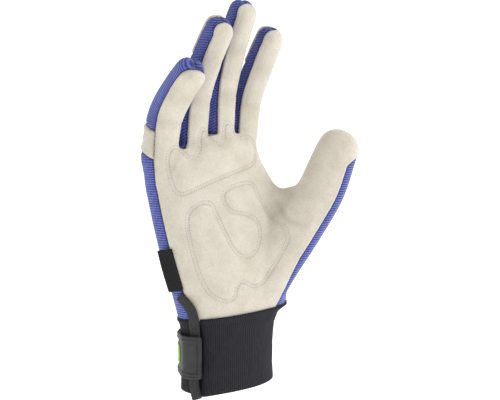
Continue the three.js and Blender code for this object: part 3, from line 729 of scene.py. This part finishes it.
def add(tree, kind, settings=(), **links):
    """A node of a material, with its settings and the sockets that are linked or set."""
    node = tree.nodes.new(kind)
    for key, value in dict(settings).items():
        setattr(node, key, value)
    for key, value in links.items():
        socket = node.inputs[int(key[1:])] if key[0] == "_" else node.inputs[key.replace("_", " ")]
        if isinstance(value, bpy.types.NodeSocket):
            tree.links.new(value, socket)
        else:
            socket.default_value = value
    return node


def linear(code):
    """A colour in linear light from its sRGB code."""
    parts = [int(code[i:i + 2], 16) / 255 for i in (1, 3, 5)]
    return [c / 12.92 if c <= 0.04045 else ((c + 0.055) / 1.055) ** 2.4 for c in parts] + [1]


def material(name, roughness):
    """A material with one shader, and its tree of nodes to add the pattern to."""
    made = bpy.data.materials.new(name)
    made.use_nodes = True
    shader = made.node_tree.nodes["Principled BSDF"]
    shader.inputs["Roughness"].default_value = roughness
    return made, made.node_tree, shader


def mix(tree, share, one, other, blend="MIX"):
    """The blend of two colours, with this share of the second."""
    settings = {"data_type": "RGBA", "blend_type": blend}
    return add(tree, "ShaderNodeMix", settings, Factor=share, _6=one, _7=other).outputs[2]


def cover(tree, shader, ground, height=None, strength=0, depth=0):
    """Gives the shader its colour and, from a pattern, its bump."""
    tree.links.new(ground, shader.inputs["Base Color"])
    if height:
        bump = add(tree, "ShaderNodeBump", Height=height, Strength=strength, Distance=depth)
        tree.links.new(bump.outputs["Normal"], shader.inputs["Normal"])


def finish_piece(bm, name, looks, node=None):
    """Turns a finished mesh in millimetres into a piece, standing for its CAD node if it has one."""
    bmesh.ops.scale(bm, vec=(0.001,) * 3, verts=bm.verts)
    mesh = bpy.data.meshes.new(name)
    bm.to_mesh(mesh)
    bm.free()
    mesh.shade_smooth()
    mesh.materials.append(looks)
    piece = bpy.data.objects.new(name, mesh)
    bpy.context.collection.objects.link(piece)
    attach(piece, "root")
    if node:
        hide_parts(node)
    return piece


def panel(name, thickness):
    """One panel cut out of the skin, given its thickness and a weave that runs along its finger."""
    part = skin.copy()
    part.faces.ensure_lookup_table()
    others = [f for f, panel_name in zip(part.faces, panels) if panel_name != name]
    bmesh.ops.delete(part, geom=others, context="FACES")
    spots = points_of(part)
    grain = spots[:, [0, 2]]
    if name.startswith(("finger_back", "side_strip")):
        nearest = np.full(len(spots), np.inf)
        for limb in fingers.values():
            u, q, p, half, out = limb.local(spots)
            across = p if name.startswith("side_strip") else q
            here = out < nearest
            grain[here] = np.column_stack([across, u * limb.length])[here]
            nearest[here] = out[here]
    if name.startswith("side_strip"):
        grain = grain @ np.array([[0.8, 0.6], [-0.6, 0.8]])
    part.verts.index_update()
    weave = part.loops.layers.uv.new("weave")
    for f in part.faces:
        for loop in f.loops:
            loop[weave].uv = grain[loop.vert.index]
    bmesh.ops.solidify(part, geom=part.faces, thickness=thickness)
    return part


# Brushed microfibre suede: matt, with a soft mottle from the brushed nap, fine fibre bumps, painted shade
# in the folds, stitch grooves and finger joints, and a rim of painted shade along the seams.
suede, tree, shader = material("brushed_microfibre_suede", 0.95)
spot = add(tree, "ShaderNodeTexCoord").outputs["Object"]
NAP_SIZE = 0.0009  # drawn twice as coarse as real fibres, so that it shows
MOTTLE_SIZE = 0.011
nap = add(tree, "ShaderNodeTexNoise", Vector=spot, Scale=1 / NAP_SIZE, Detail=3, Roughness=0.65)
mottle = add(tree, "ShaderNodeTexNoise", Vector=spot, Scale=1 / MOTTLE_SIZE, Detail=5, Roughness=0.62)
uneven = add(tree, "ShaderNodeMapRange", Value=mottle.outputs["Fac"], From_Min=0.35, From_Max=0.68)
ground = mix(tree, uneven.outputs["Result"], *map(linear, SUEDE_COLOURS))
fibre = add(
    tree, "ShaderNodeMapRange", Value=nap.outputs["Fac"],
    From_Min=0.3, From_Max=0.7, To_Min=0.9, To_Max=1.06,
)
ground = mix(tree, 1.0, ground, fibre.outputs["Result"], "MULTIPLY")
# Painted shade from the shade layer, in the folds, stitch grooves and finger joints.
painted_fold_shade = add(tree, "ShaderNodeAttribute", {"attribute_name": "shade"})
ground = mix(tree, painted_fold_shade.outputs["Fac"], ground, linear(SUEDE_PAINTED_SHADE))
# Painted shade along the seams, where the suede turns into the groove.
to_seam = add(tree, "ShaderNodeAttribute", {"attribute_name": "seam"})
rim = add(
    tree, "ShaderNodeMapRange", Value=to_seam.outputs["Fac"],
    From_Min=0.2, From_Max=0.9, To_Min=0.35, To_Max=0,
)
ground = mix(tree, rim.outputs["Result"], ground, linear(SUEDE_SEAM_SHADE))
cover(tree, shader, ground, nap.outputs["Fac"], 0.35, 0.0004)
shader.inputs["Sheen Weight"].default_value = 0.25
shader.inputs["Sheen Roughness"].default_value = 0.6
shader.inputs["Specular IOR Level"].default_value = 0.2
for name in sorted(set(panels)):
    if name.startswith(suede_panels):
        finish_piece(panel(name, PANEL_WALL), name + "_suede", suede, name)

# Knit panels
# The back, the backs of the fingers and the strips between them are a ribbed stretch knit in blue polyester
# and elastane, 1.5 mm with its lining. Its ribs run across the finger, and the strips are cut on the bias.
RIB_PITCH = 1.5  # drawn a little coarser than the real 1.2 mm, so that it shows
KNIT_COLOURS = ("#6f7ac8", "#343b80")
# Painted shade of the knit at its seams.
KNIT_SEAM_SHADE = "#24264a"


def ribbed(name, light, dark, pitch, crossed, shine, depth, darkest_seam_shade, steps="YX"):
    """A knit whose ribs follow one another along the first of two axes of the piece's weave, crossed by a
    weaker second set along the other."""
    made, tree, shader = material(name, 0.85)
    weave = add(tree, "ShaderNodeUVMap", {"uv_map": "weave"})
    axes = add(tree, "ShaderNodeSeparateXYZ", Vector=weave.outputs["UV"])
    spot = add(tree, "ShaderNodeTexCoord").outputs["Object"]
    warp = add(tree, "ShaderNodeTexNoise", Vector=spot, Scale=260, Detail=3).outputs["Fac"]
    ribs_at, crossed_at = (axes.outputs[axis] for axis in steps)
    along = add(tree, "ShaderNodeMath", {"operation": "MULTIPLY_ADD"}, _0=warp, _1=0.5, _2=ribs_at)
    waves = []
    for source, length in ((along.outputs[0], pitch), (crossed_at, pitch * 0.8)):
        turned = add(tree, "ShaderNodeMath", {"operation": "MULTIPLY"}, _0=source, _1=2 * math.pi / length)
        wave = add(tree, "ShaderNodeMath", {"operation": "SINE"}, _0=turned.outputs[0])
        level = add(tree, "ShaderNodeMapRange", Value=wave.outputs[0], From_Min=-1, From_Max=1)
        waves.append(level.outputs["Result"])
    ribs = add(tree, "ShaderNodeMath", {"operation": "MULTIPLY_ADD"}, _0=waves[1], _1=crossed, _2=waves[0])
    fibre = add(tree, "ShaderNodeMath", {"operation": "MULTIPLY_ADD"}, _0=warp, _1=0.5, _2=ribs.outputs[0])
    tint = add(tree, "ShaderNodeMapRange", Value=fibre.outputs[0], From_Min=0.3, From_Max=1 + crossed)
    ground = mix(tree, tint.outputs["Result"], linear(dark), linear(light))
    # Painted shade: the knit darkens towards its seams, as far as the given darkest share.
    to_seam = add(tree, "ShaderNodeAttribute", {"attribute_name": "seam"})
    seam_shade = add(
        tree, "ShaderNodeMapRange", Value=to_seam.outputs["Fac"],
        From_Min=0.3, From_Max=1.3, To_Min=darkest_seam_shade, To_Max=0,
    )
    ground = mix(tree, seam_shade.outputs["Result"], ground, linear(KNIT_SEAM_SHADE))
    cover(tree, shader, ground, fibre.outputs[0], 0.6, depth)
    shader.inputs["Sheen Weight"].default_value = shine
    shader.inputs["Sheen Roughness"].default_value = 0.4
    shader.inputs["Specular IOR Level"].default_value = 0.25
    return made


# Ribbed polyester knit: matt ridges with a faint sheen, and dark valleys where the loops meet.
knit = ribbed("ribbed_polyester_knit", *KNIT_COLOURS, RIB_PITCH, 0.2, 0.3, 0.0006, 0.7)
# Open mesh knit: the same yarn knitted more loosely, so that more of its dark valleys show; its colours are
# set darker as painted shade for the gaps between the fingers.
gap_shaded_strip_knit = ribbed("open_mesh_knit_gap_shade", "#6672c6", "#20255a", RIB_PITCH, 0.8, 0.2, 0.0007, 0.7)
for name in sorted(set(panels)):
    if not name.startswith(suede_panels):
        look = gap_shaded_strip_knit if name.startswith("side_strip") else knit
        finish_piece(panel(name, PANEL_WALL), name + "_knit", look, name)

# Stitching
# Two rows of lilac grey polyester thread hold each pad, and a row of dark thread shows in the seams. Each
# stitch is a short bead that sinks into the cloth at both ends.
STITCH_PITCH = 1.7
STITCH_LENGTH = 1.15
THREAD = 0.34
SEAM_PITCH = 2.0
SEAM_STITCH = (1.2, 0.5)  # length and thickness
SEAM_LIFT = 0.12  # of a stitch above the bottom of its seam
BEFORE_PALM = -80  # where the rays that find the palm start
NEIGHBOURS = (-1, 0, 1)


def stitch(bm, spot, normal, direction, length, thickness):
    """One stitch: a stretched ball of few faces, laid on the cloth."""
    frame = Matrix.Translation(spot) @ Matrix(
        [direction, normal.cross(direction).normalized(), normal]
    ).transposed().to_4x4()
    size = Matrix.Diagonal((length / 2, thickness / 2, thickness / 2, 1))
    bmesh.ops.create_icosphere(bm, subdivisions=1, radius=1, matrix=frame @ size)


def thread_look(name, colour):
    """Spun polyester thread: a soft gleam on twisted fibres."""
    made, tree, shader = material(name, 0.55)
    spot = add(tree, "ShaderNodeTexCoord").outputs["Object"]
    twist = add(tree, "ShaderNodeTexNoise", Vector=spot, Scale=1800, Detail=2)
    uneven = add(tree, "ShaderNodeMapRange", Value=twist.outputs["Fac"], To_Min=0.6, To_Max=1.3)
    cover(tree, shader, mix(tree, 1.0, linear(colour), uneven.outputs["Result"], "MULTIPLY"))
    return made


lilac_thread = thread_look("spun_polyester_thread", "#8c8ca6")
dark_thread = thread_look("dark_polyester_thread", "#50506a")
for name, outline in PADS.items():
    rows = bmesh.new()
    line = closed_line(outline, STITCH_PITCH)
    heading = np.roll(line, -1, axis=0) - np.roll(line, 1, axis=0)
    inwards = np.column_stack([heading[:, 1], -heading[:, 0]]) / np.linalg.norm(heading, axis=1)[:, None]
    if not inside(line[:1] + inwards[:1] * 0.5, line)[0]:
        inwards = -inwards
    for row_line in (line, line + inwards * ROW_GAP):
        starts = [Vector((x, BEFORE_PALM, z)) for x, z in row_line]
        hits = [skin_tree.ray_cast(start, Vector((0, 1, 0)))[:2] for start in starts]
        for i, (spot, normal) in enumerate(hits):
            ahead = hits[(i + 1) % len(hits)][0]
            if spot and ahead and 0.3 < (ahead - spot).length < 2.6:
                direction = (ahead - spot).normalized()
                normal = (normal - direction * normal.dot(direction)).normalized()
                stitch(rows, spot - normal * 0.02, normal, direction, STITCH_LENGTH, THREAD)
    finish_piece(rows, name + "_stitches", lilac_thread)
seam_rows = bmesh.new()
taken = {}
for e in seam_edges:
    if not any(panels[f.index].startswith(suede_panels) for f in e.link_faces):
        continue
    spot = (e.verts[0].co + e.verts[1].co) / 2
    cell = tuple(int(c // SEAM_PITCH) for c in spot)
    around = [
        (cell[0] + i, cell[1] + j, cell[2] + k) for i in NEIGHBOURS for j in NEIGHBOURS for k in NEIGHBOURS
    ]
    if all((other - spot).length > SEAM_PITCH for c in around for other in taken.get(c, ())):
        taken.setdefault(cell, []).append(spot)
        normal = (e.verts[0].normal + e.verts[1].normal).normalized()
        direction = (e.verts[1].co - e.verts[0].co).normalized()
        normal = (normal - direction * normal.dot(direction)).normalized()
        stitch(seam_rows, spot + normal * SEAM_LIFT, normal, direction, *SEAM_STITCH)
finish_piece(seam_rows, "seam_stitches", dark_thread)

# Cuff
# A wide band of black elastic rib knit, 1.9 mm, sewn on at the wrist. Its outer end lies along the vent at
# the little finger's side, and the inner end runs on beneath it.
CUFF_WIDTH = 60
CUFF_DEPTH = 43
CUFF_WALL = 1.9
CUFF_GAP = 0.4
CUFF_SQUARE = 2.15
CUFF_RIPPLE = 0.5
CUFF_FLARE = 0.8  # how far its sewn edge stands out
CUFF_OVER = 0.2  # how far that edge laps over the hand
VENT_ANGLE = 206  # degrees round from the thumb's side
VENT_LAP = 26
VENT_DIP = 1.8  # the hem hangs this much lower beside the vent
DIP_REACH = 30
CUFF = [
    # height as a share, width and depth as shares, shift to the thumb's side, slope and tilt of the edge
    (0, 1.02, 1, -0.0117, 0.1, 0.06),
    (0.2, 1, 0.98, -0.0117, 0.1, 0.05),
    (0.5, 0.995, 0.98, -0.01, 0.1, 0.03),
    (0.8, 1.03, 0.99, 0, 0.1, 0.01),
    (0.93, 1.1, 0.99, 0.0133, 0.1, 0),
]
wrist = PALM[1]
wide = (wrist[2] - wrist[1]) * PALM_WIDTH / CUFF_WIDTH
deep = (wrist[4] - wrist[3]) * PALM_DEPTH / CUFF_DEPTH
CUFF.append((1, wide, deep, (wrist[1] + wrist[2]) / 2 * PALM_WIDTH / CUFF_WIDTH, wrist[5], 0))


def oval(half_width, half_depth, square, degrees):
    angle = math.radians(degrees)
    c, s = math.cos(angle), math.sin(angle)
    return (
        half_width * math.copysign(abs(c) ** (2 / square), c),
        half_depth * math.copysign(abs(s) ** (2 / square), s),
    )


def mixed(rows, height):
    rows = np.array(rows)
    return [float(np.interp(height, rows[:, 0], column)) for column in rows.T[1:]]


def skin_point(up, degrees, lift):
    """A point lift mm off the cuff, or off the hand above it, at a share of the cuff's height."""
    if up > 1:
        ulnar, radial, front, back, slope, _, square, *_ = mixed(PALM, (up - 1) * CUFF_HEIGHT / HAND_LENGTH)
        half = (radial - ulnar) * PALM_WIDTH / 2, (back - front) * PALM_DEPTH / 2
        x, y = oval(half[0] + lift, half[1] + lift, square, degrees)
        x += (ulnar + radial) / 2 * PALM_WIDTH
        return Vector((x, y + (front + back) / 2 * PALM_DEPTH, up * CUFF_HEIGHT + slope * x))
    wide, deep, shift, slope, tilt = mixed(CUFF, up)
    x, y = oval(CUFF_WIDTH * wide / 2 + lift, CUFF_DEPTH * deep / 2 + lift, CUFF_SQUARE, degrees)
    x += shift * CUFF_WIDTH
    dip = VENT_DIP * (1 - up) ** 2 * math.exp(-(((degrees - VENT_ANGLE) / DIP_REACH) ** 2))
    return Vector((x, y, up * CUFF_HEIGHT + slope * x + tilt * y - dip))


def laid(columns, rows, where, size, wall):
    """A sheet of one thickness, laid where the function says, with its weave in mm."""
    bm = bmesh.new()
    bmesh.ops.create_grid(bm, x_segments=columns, y_segments=rows, size=0.5)
    weave = bm.loops.layers.uv.new("weave")
    for f in bm.faces:
        for loop in f.loops:
            loop[weave].uv = ((loop.vert.co.x + 0.5) * size[0], (loop.vert.co.y + 0.5) * size[1])
    for v in bm.verts:
        v.co = where(v.co.x + 0.5, v.co.y + 0.5)
    bmesh.ops.solidify(bm, geom=bm.faces, thickness=wall)
    bmesh.ops.recalc_face_normals(bm, faces=bm.faces)
    return bm


def cuff_place(turned, up):
    degrees = VENT_ANGLE - VENT_LAP + (360 + VENT_LAP) * turned
    lapped = smoothstep(degrees, VENT_ANGLE + 1, VENT_ANGLE + 13)
    c, s = math.cos(math.radians(degrees)), math.sin(math.radians(degrees))
    lift = CUFF_RIPPLE * noise.noise(Vector((c * 3, s * 3, up * 3)))
    lift += CUFF_FLARE * math.exp(-(((up - 1) / 0.03) ** 2))
    lift *= smoothstep(up, 0, 0.1)
    lift -= (CUFF_WALL + CUFF_GAP) * (1 - lapped)
    return skin_point(up * (1 + CUFF_OVER / CUFF_HEIGHT), degrees, lift)


cuff = laid(150, 44, cuff_place, (175, CUFF_HEIGHT), -CUFF_WALL)
# Black elastic rib knit: fine ribs up and down, almost no gleam, dark grey where the light falls on it.
elastic = ribbed("black_elastic_rib_knit", "#313036", "#1c1b20", 1.1, 0.3, 0, 0.0004, 0, "XY")
finish_piece(cuff, "cuff_knit", elastic, "cuff")

# Vent tape
# A folded woven tape, 7.2 mm wide, binds the vent and runs on above the cuff, where its end stands open.
TAPE_WIDTH = 7.2
TAPE_THICKNESS = 1.6
LAID_GAP = 0.35
TAPE = [
    # height as a share of the cuff's, degrees round
    (-0.02, 210), (0.06, 207), (0.25, 203), (0.6, 204), (0.95, 208),
    (1.08, 209.5), (1.18, 209), (1.26, 206), (1.33, 202), (1.39, 197),
]
tape = bmesh.new()
stops = smooth_rows(TAPE, 6)
middle = [skin_point(up, degrees, LAID_GAP + TAPE_THICKNESS / 2) for up, degrees in stops]
above = [skin_point(up, degrees, LAID_GAP + TAPE_THICKNESS / 2 + 1) for up, degrees in stops]
loops = []
for i, (spot, higher) in enumerate(zip(middle, above)):
    tangent = (middle[min(i + 1, len(middle) - 1)] - middle[max(i - 1, 0)]).normalized()
    normal = (higher - spot).normalized()
    across = normal.cross(tangent).normalized()
    open_end = smoothstep(i / (len(middle) - 1), 0.86, 1)
    half = (TAPE_WIDTH / 2 * (1 - 0.12 * open_end), TAPE_THICKNESS / 2 * (1 + 0.5 * open_end))
    loops.append(ring(tape, np.array(spot), np.array(across), np.array(normal), half, 3.2, 24))
for one, other in zip(loops, loops[1:]):
    bmesh.ops.bridge_loops(tape, edges=one + other)
bmesh.ops.recalc_face_normals(tape, faces=tape.faces)
bmesh.ops.solidify(tape, geom=tape.faces, thickness=0.5)
# Woven polyester tape: lengthwise ribs that catch a little light.
woven, tree, shader = material("woven_polyester_tape", 0.6)
spot = add(tree, "ShaderNodeTexCoord").outputs["Object"]
stretched = add(tree, "ShaderNodeMapping", Vector=spot, Scale=(1600, 1600, 130))
threads = add(tree, "ShaderNodeTexNoise", Vector=stretched.outputs["Vector"], Scale=1, Detail=3)
tint = add(tree, "ShaderNodeMapRange", Value=threads.outputs["Fac"], From_Min=0.35, From_Max=0.7)
ground = mix(tree, tint.outputs["Result"], linear("#0f0f11"), linear("#29292b"))
cover(tree, shader, ground, threads.outputs["Fac"], 0.7, 0.0005)
finish_piece(tape, "vent_tape_woven", woven, "vent_tape")

# Closure tab
# A moulded rubber tab with a rounded raised border wraps over the tape and holds the vent shut.
TAB_FROM = 132
TAB_TO = 219
TAB_LOW = 0.25
TAB_HIGH = 0.79
TAB_CORNER = 1.8
TAB_THICKNESS = 1.7
TAB_LIFT = 0.7
TAB_BORDER = 2.2
CUFF_ROUND = math.pi * (CUFF_WIDTH + CUFF_DEPTH) / 2


def tab_foot(degrees):
    over = smoothstep(degrees, VENT_ANGLE - 36, VENT_ANGLE - 14)
    return LAID_GAP + over * (TAPE_THICKNESS + 2 * LAID_GAP)


def tab_place(along, up_share):
    middle, half = (TAB_LOW + TAB_HIGH) / 2, (TAB_HIGH - TAB_LOW) / 2
    up = middle + (2 * up_share - 1) * half
    near = max(0, (abs(up - middle) - half) * CUFF_HEIGHT / TAB_CORNER + 1)
    corner = TAB_CORNER * (1 - math.sqrt(max(0, 1 - near**2)))
    length = (TAB_TO - TAB_FROM) / 360 * CUFF_ROUND - corner
    edge = (half - abs(up - middle)) * CUFF_HEIGHT
    rim = min(edge, along * length, (1 - along) * length)
    raised = 1 - smoothstep(rim, TAB_BORDER - 0.5, TAB_BORDER)
    rounded = math.sqrt(max(0, 1 - (1 - min(1, rim / 0.9)) ** 2))
    groove = math.exp(-(((rim - TAB_BORDER - 0.35) / 0.4) ** 2))
    lift = TAB_LIFT * (raised * (0.25 + 0.75 * rounded)) - 0.6 * groove
    degrees = TAB_FROM + 360 * length / CUFF_ROUND * along
    return skin_point(up, degrees, tab_foot(degrees) + TAB_THICKNESS + lift)


tab = laid(110, 60, tab_place, (46, 24), -TAB_THICKNESS)
# Soft moulded rubber: satin, a fine grained surface, dark grey with a paler uneven bloom.
rubber, tree, shader = material("moulded_rubber", 0.5)
spot = add(tree, "ShaderNodeTexCoord").outputs["Object"]
grain = add(tree, "ShaderNodeTexNoise", Vector=spot, Scale=1500, Detail=2)
bloom = add(tree, "ShaderNodeTexNoise", Vector=spot, Scale=220, Detail=4)
tint = add(tree, "ShaderNodeMapRange", Value=bloom.outputs["Fac"], From_Min=0.3, From_Max=0.75)
ground = mix(tree, tint.outputs["Result"], linear("#232324"), linear("#303032"))
cover(tree, shader, ground, grain.outputs["Fac"], 0.25, 0.0002)
finish_piece(tab, "closure_tab_rubber", rubber, "closure_tab")

# Tab mark
# A plain green rubber bar with rounded edges is moulded on the tab.
MARK_FROM = 146
MARK_TO = 174
MARK_LOW = 0.4
MARK_HIGH = 0.66
MARK_THICKNESS = 0.6


def mark_place(along, up_share):
    degrees = MARK_FROM + (MARK_TO - MARK_FROM) * along
    up = MARK_LOW + (MARK_HIGH - MARK_LOW) * up_share
    rim = min(along * 10, (1 - along) * 10, up_share * 11, (1 - up_share) * 11)
    rounded = 0.35 * math.sqrt(max(0, 1 - (1 - min(1, rim / 0.6)) ** 2)) - 0.35
    return skin_point(up, degrees, tab_foot(degrees) + TAB_THICKNESS + 0.05 + MARK_THICKNESS + rounded)


mark = laid(30, 30, mark_place, (10, 11), -(MARK_THICKNESS - 0.35))
# The same rubber in lime green, slightly glossier where the mould was smooth.
lime, tree, shader = material("lime_moulded_rubber", 0.42)
spot = add(tree, "ShaderNodeTexCoord").outputs["Object"]
bloom = add(tree, "ShaderNodeTexNoise", Vector=spot, Scale=400, Detail=3)
cover(tree, shader, mix(tree, bloom.outputs["Fac"], linear("#86bd38"), linear("#a0d84e")))
finish_piece(mark, "tab_mark_rubber", lime, "tab_mark")

# Side label
# A small black woven label, sewn by one long edge into the seam at the little finger's side. Its free edge
# stands off the glove and curls a little.
LABEL_WIDTH = 9.5
LABEL_LENGTH = 25
LABEL_THICKNESS = 0.8
LABEL_ANGLE = 206
LABEL_LOW = 0.105
LABEL_GAP = 0.8
LABEL_STAND_OFF = 0.28
LABEL_CURL = 0.5
heights = [1 + (LABEL_LOW * HAND_LENGTH + LABEL_LENGTH * t) / CUFF_HEIGHT for t in (0, 0.5, 1)]
seam_ends = [skin_point(up, LABEL_ANGLE, LABEL_GAP) for up in heights[::2]]
halfway = heights[1]
label_up = skin_point(halfway, LABEL_ANGLE, 2) - skin_point(halfway, LABEL_ANGLE, 1)
label_out = label_up.cross(seam_ends[1] - seam_ends[0]).normalized()
label_out = (label_out + label_up.normalized() * LABEL_STAND_OFF).normalized()


def label_place(across, t):
    curl = LABEL_CURL * (1 - across) ** 2 * math.sin(math.pi * t)
    sewn = seam_ends[0].lerp(seam_ends[1], t) + label_up * (LABEL_THICKNESS + curl)
    return sewn + label_out * LABEL_WIDTH * (1 - across)


label = laid(24, 60, label_place, (LABEL_WIDTH, LABEL_LENGTH), -LABEL_THICKNESS)
# Woven damask label in black polyester: fine level rows and a faint satin gleam.
damask = ribbed("black_damask_weave", "#29292b", "#151517", 0.7, 0.5, 0.05, 0.0002, 0)
finish_piece(label, "side_label_woven", damask, "side_label")

# Backdrop and light
# A sheet of white paper runs under the glove and curves up behind it, in an even white studio with a large
# soft light from the upper right and a weaker one from the left.
PAPER_WIDTH = 6
PAPER_NEAR = 2.5  # how far it runs towards the camera
PAPER_BEHIND = 1.2  # where it starts to rise
PAPER_ROUND = 0.6
PAPER_RISE = 2
PAPER_DROP = 0.03  # below the origin
right = Vector((math.cos(AZIMUTH), math.sin(AZIMUTH), 0))
towards = Vector((math.sin(AZIMUTH), -math.cos(AZIMUTH), 0))
sweep = bmesh.new()
bmesh.ops.create_grid(sweep, x_segments=1, y_segments=120, size=0.5)
bend = PAPER_ROUND * math.pi / 2
for v in sweep.verts:
    run = (v.co.y + 0.5) * (PAPER_NEAR + PAPER_BEHIND + bend + PAPER_RISE) - PAPER_NEAR - PAPER_BEHIND
    angle = min(max(run, 0), bend) / PAPER_ROUND
    back = PAPER_BEHIND + min(run, 0) + PAPER_ROUND * math.sin(angle)
    high = PAPER_ROUND * (1 - math.cos(angle)) + max(0, run - bend) - PAPER_DROP
    v.co = right * v.co.x * PAPER_WIDTH - towards * back + Vector((0, 0, high))
mesh = bpy.data.meshes.new("backdrop")
sweep.to_mesh(mesh)
sweep.free()
mesh.shade_smooth()
backdrop = bpy.data.objects.new("backdrop", mesh)
bpy.context.collection.objects.link(backdrop)
paper, tree, shader = material("white_paper", 0.9)
shader.inputs["Base Color"].default_value = linear("#ffffff")
shader.inputs["Emission Color"].default_value = (1, 1, 1, 1)
shader.inputs["Emission Strength"].default_value = 0.45
mesh.materials.append(paper)
world = bpy.data.worlds.new("studio")
bpy.context.scene.world = world
world.use_nodes = True
world.node_tree.nodes["Background"].inputs["Color"].default_value = (1, 1, 1, 1)
world.node_tree.nodes["Background"].inputs["Strength"].default_value = 0.6
LAMPS = [
    # to the camera's right, towards it, up, size, power
    (0.85, 0.1, 0.62, 0.5, 4.6),
    (-0.6, 0.1, 0.5, 0.5, 0.5),
]
for across, near, high, size, power in LAMPS:
    lamp = bpy.data.objects.new("softbox", bpy.data.lights.new("softbox", "AREA"))
    bpy.context.collection.objects.link(lamp)
    lamp.data.size = size
    lamp.data.energy = power
    lamp.location = TARGET + right * across + towards * near + Vector((0, 0, high))
    lamp.rotation_euler = (TARGET - lamp.location).to_track_quat("-Z", "Y").to_euler()
bpy.context.scene.view_settings.view_transform = "Standard"
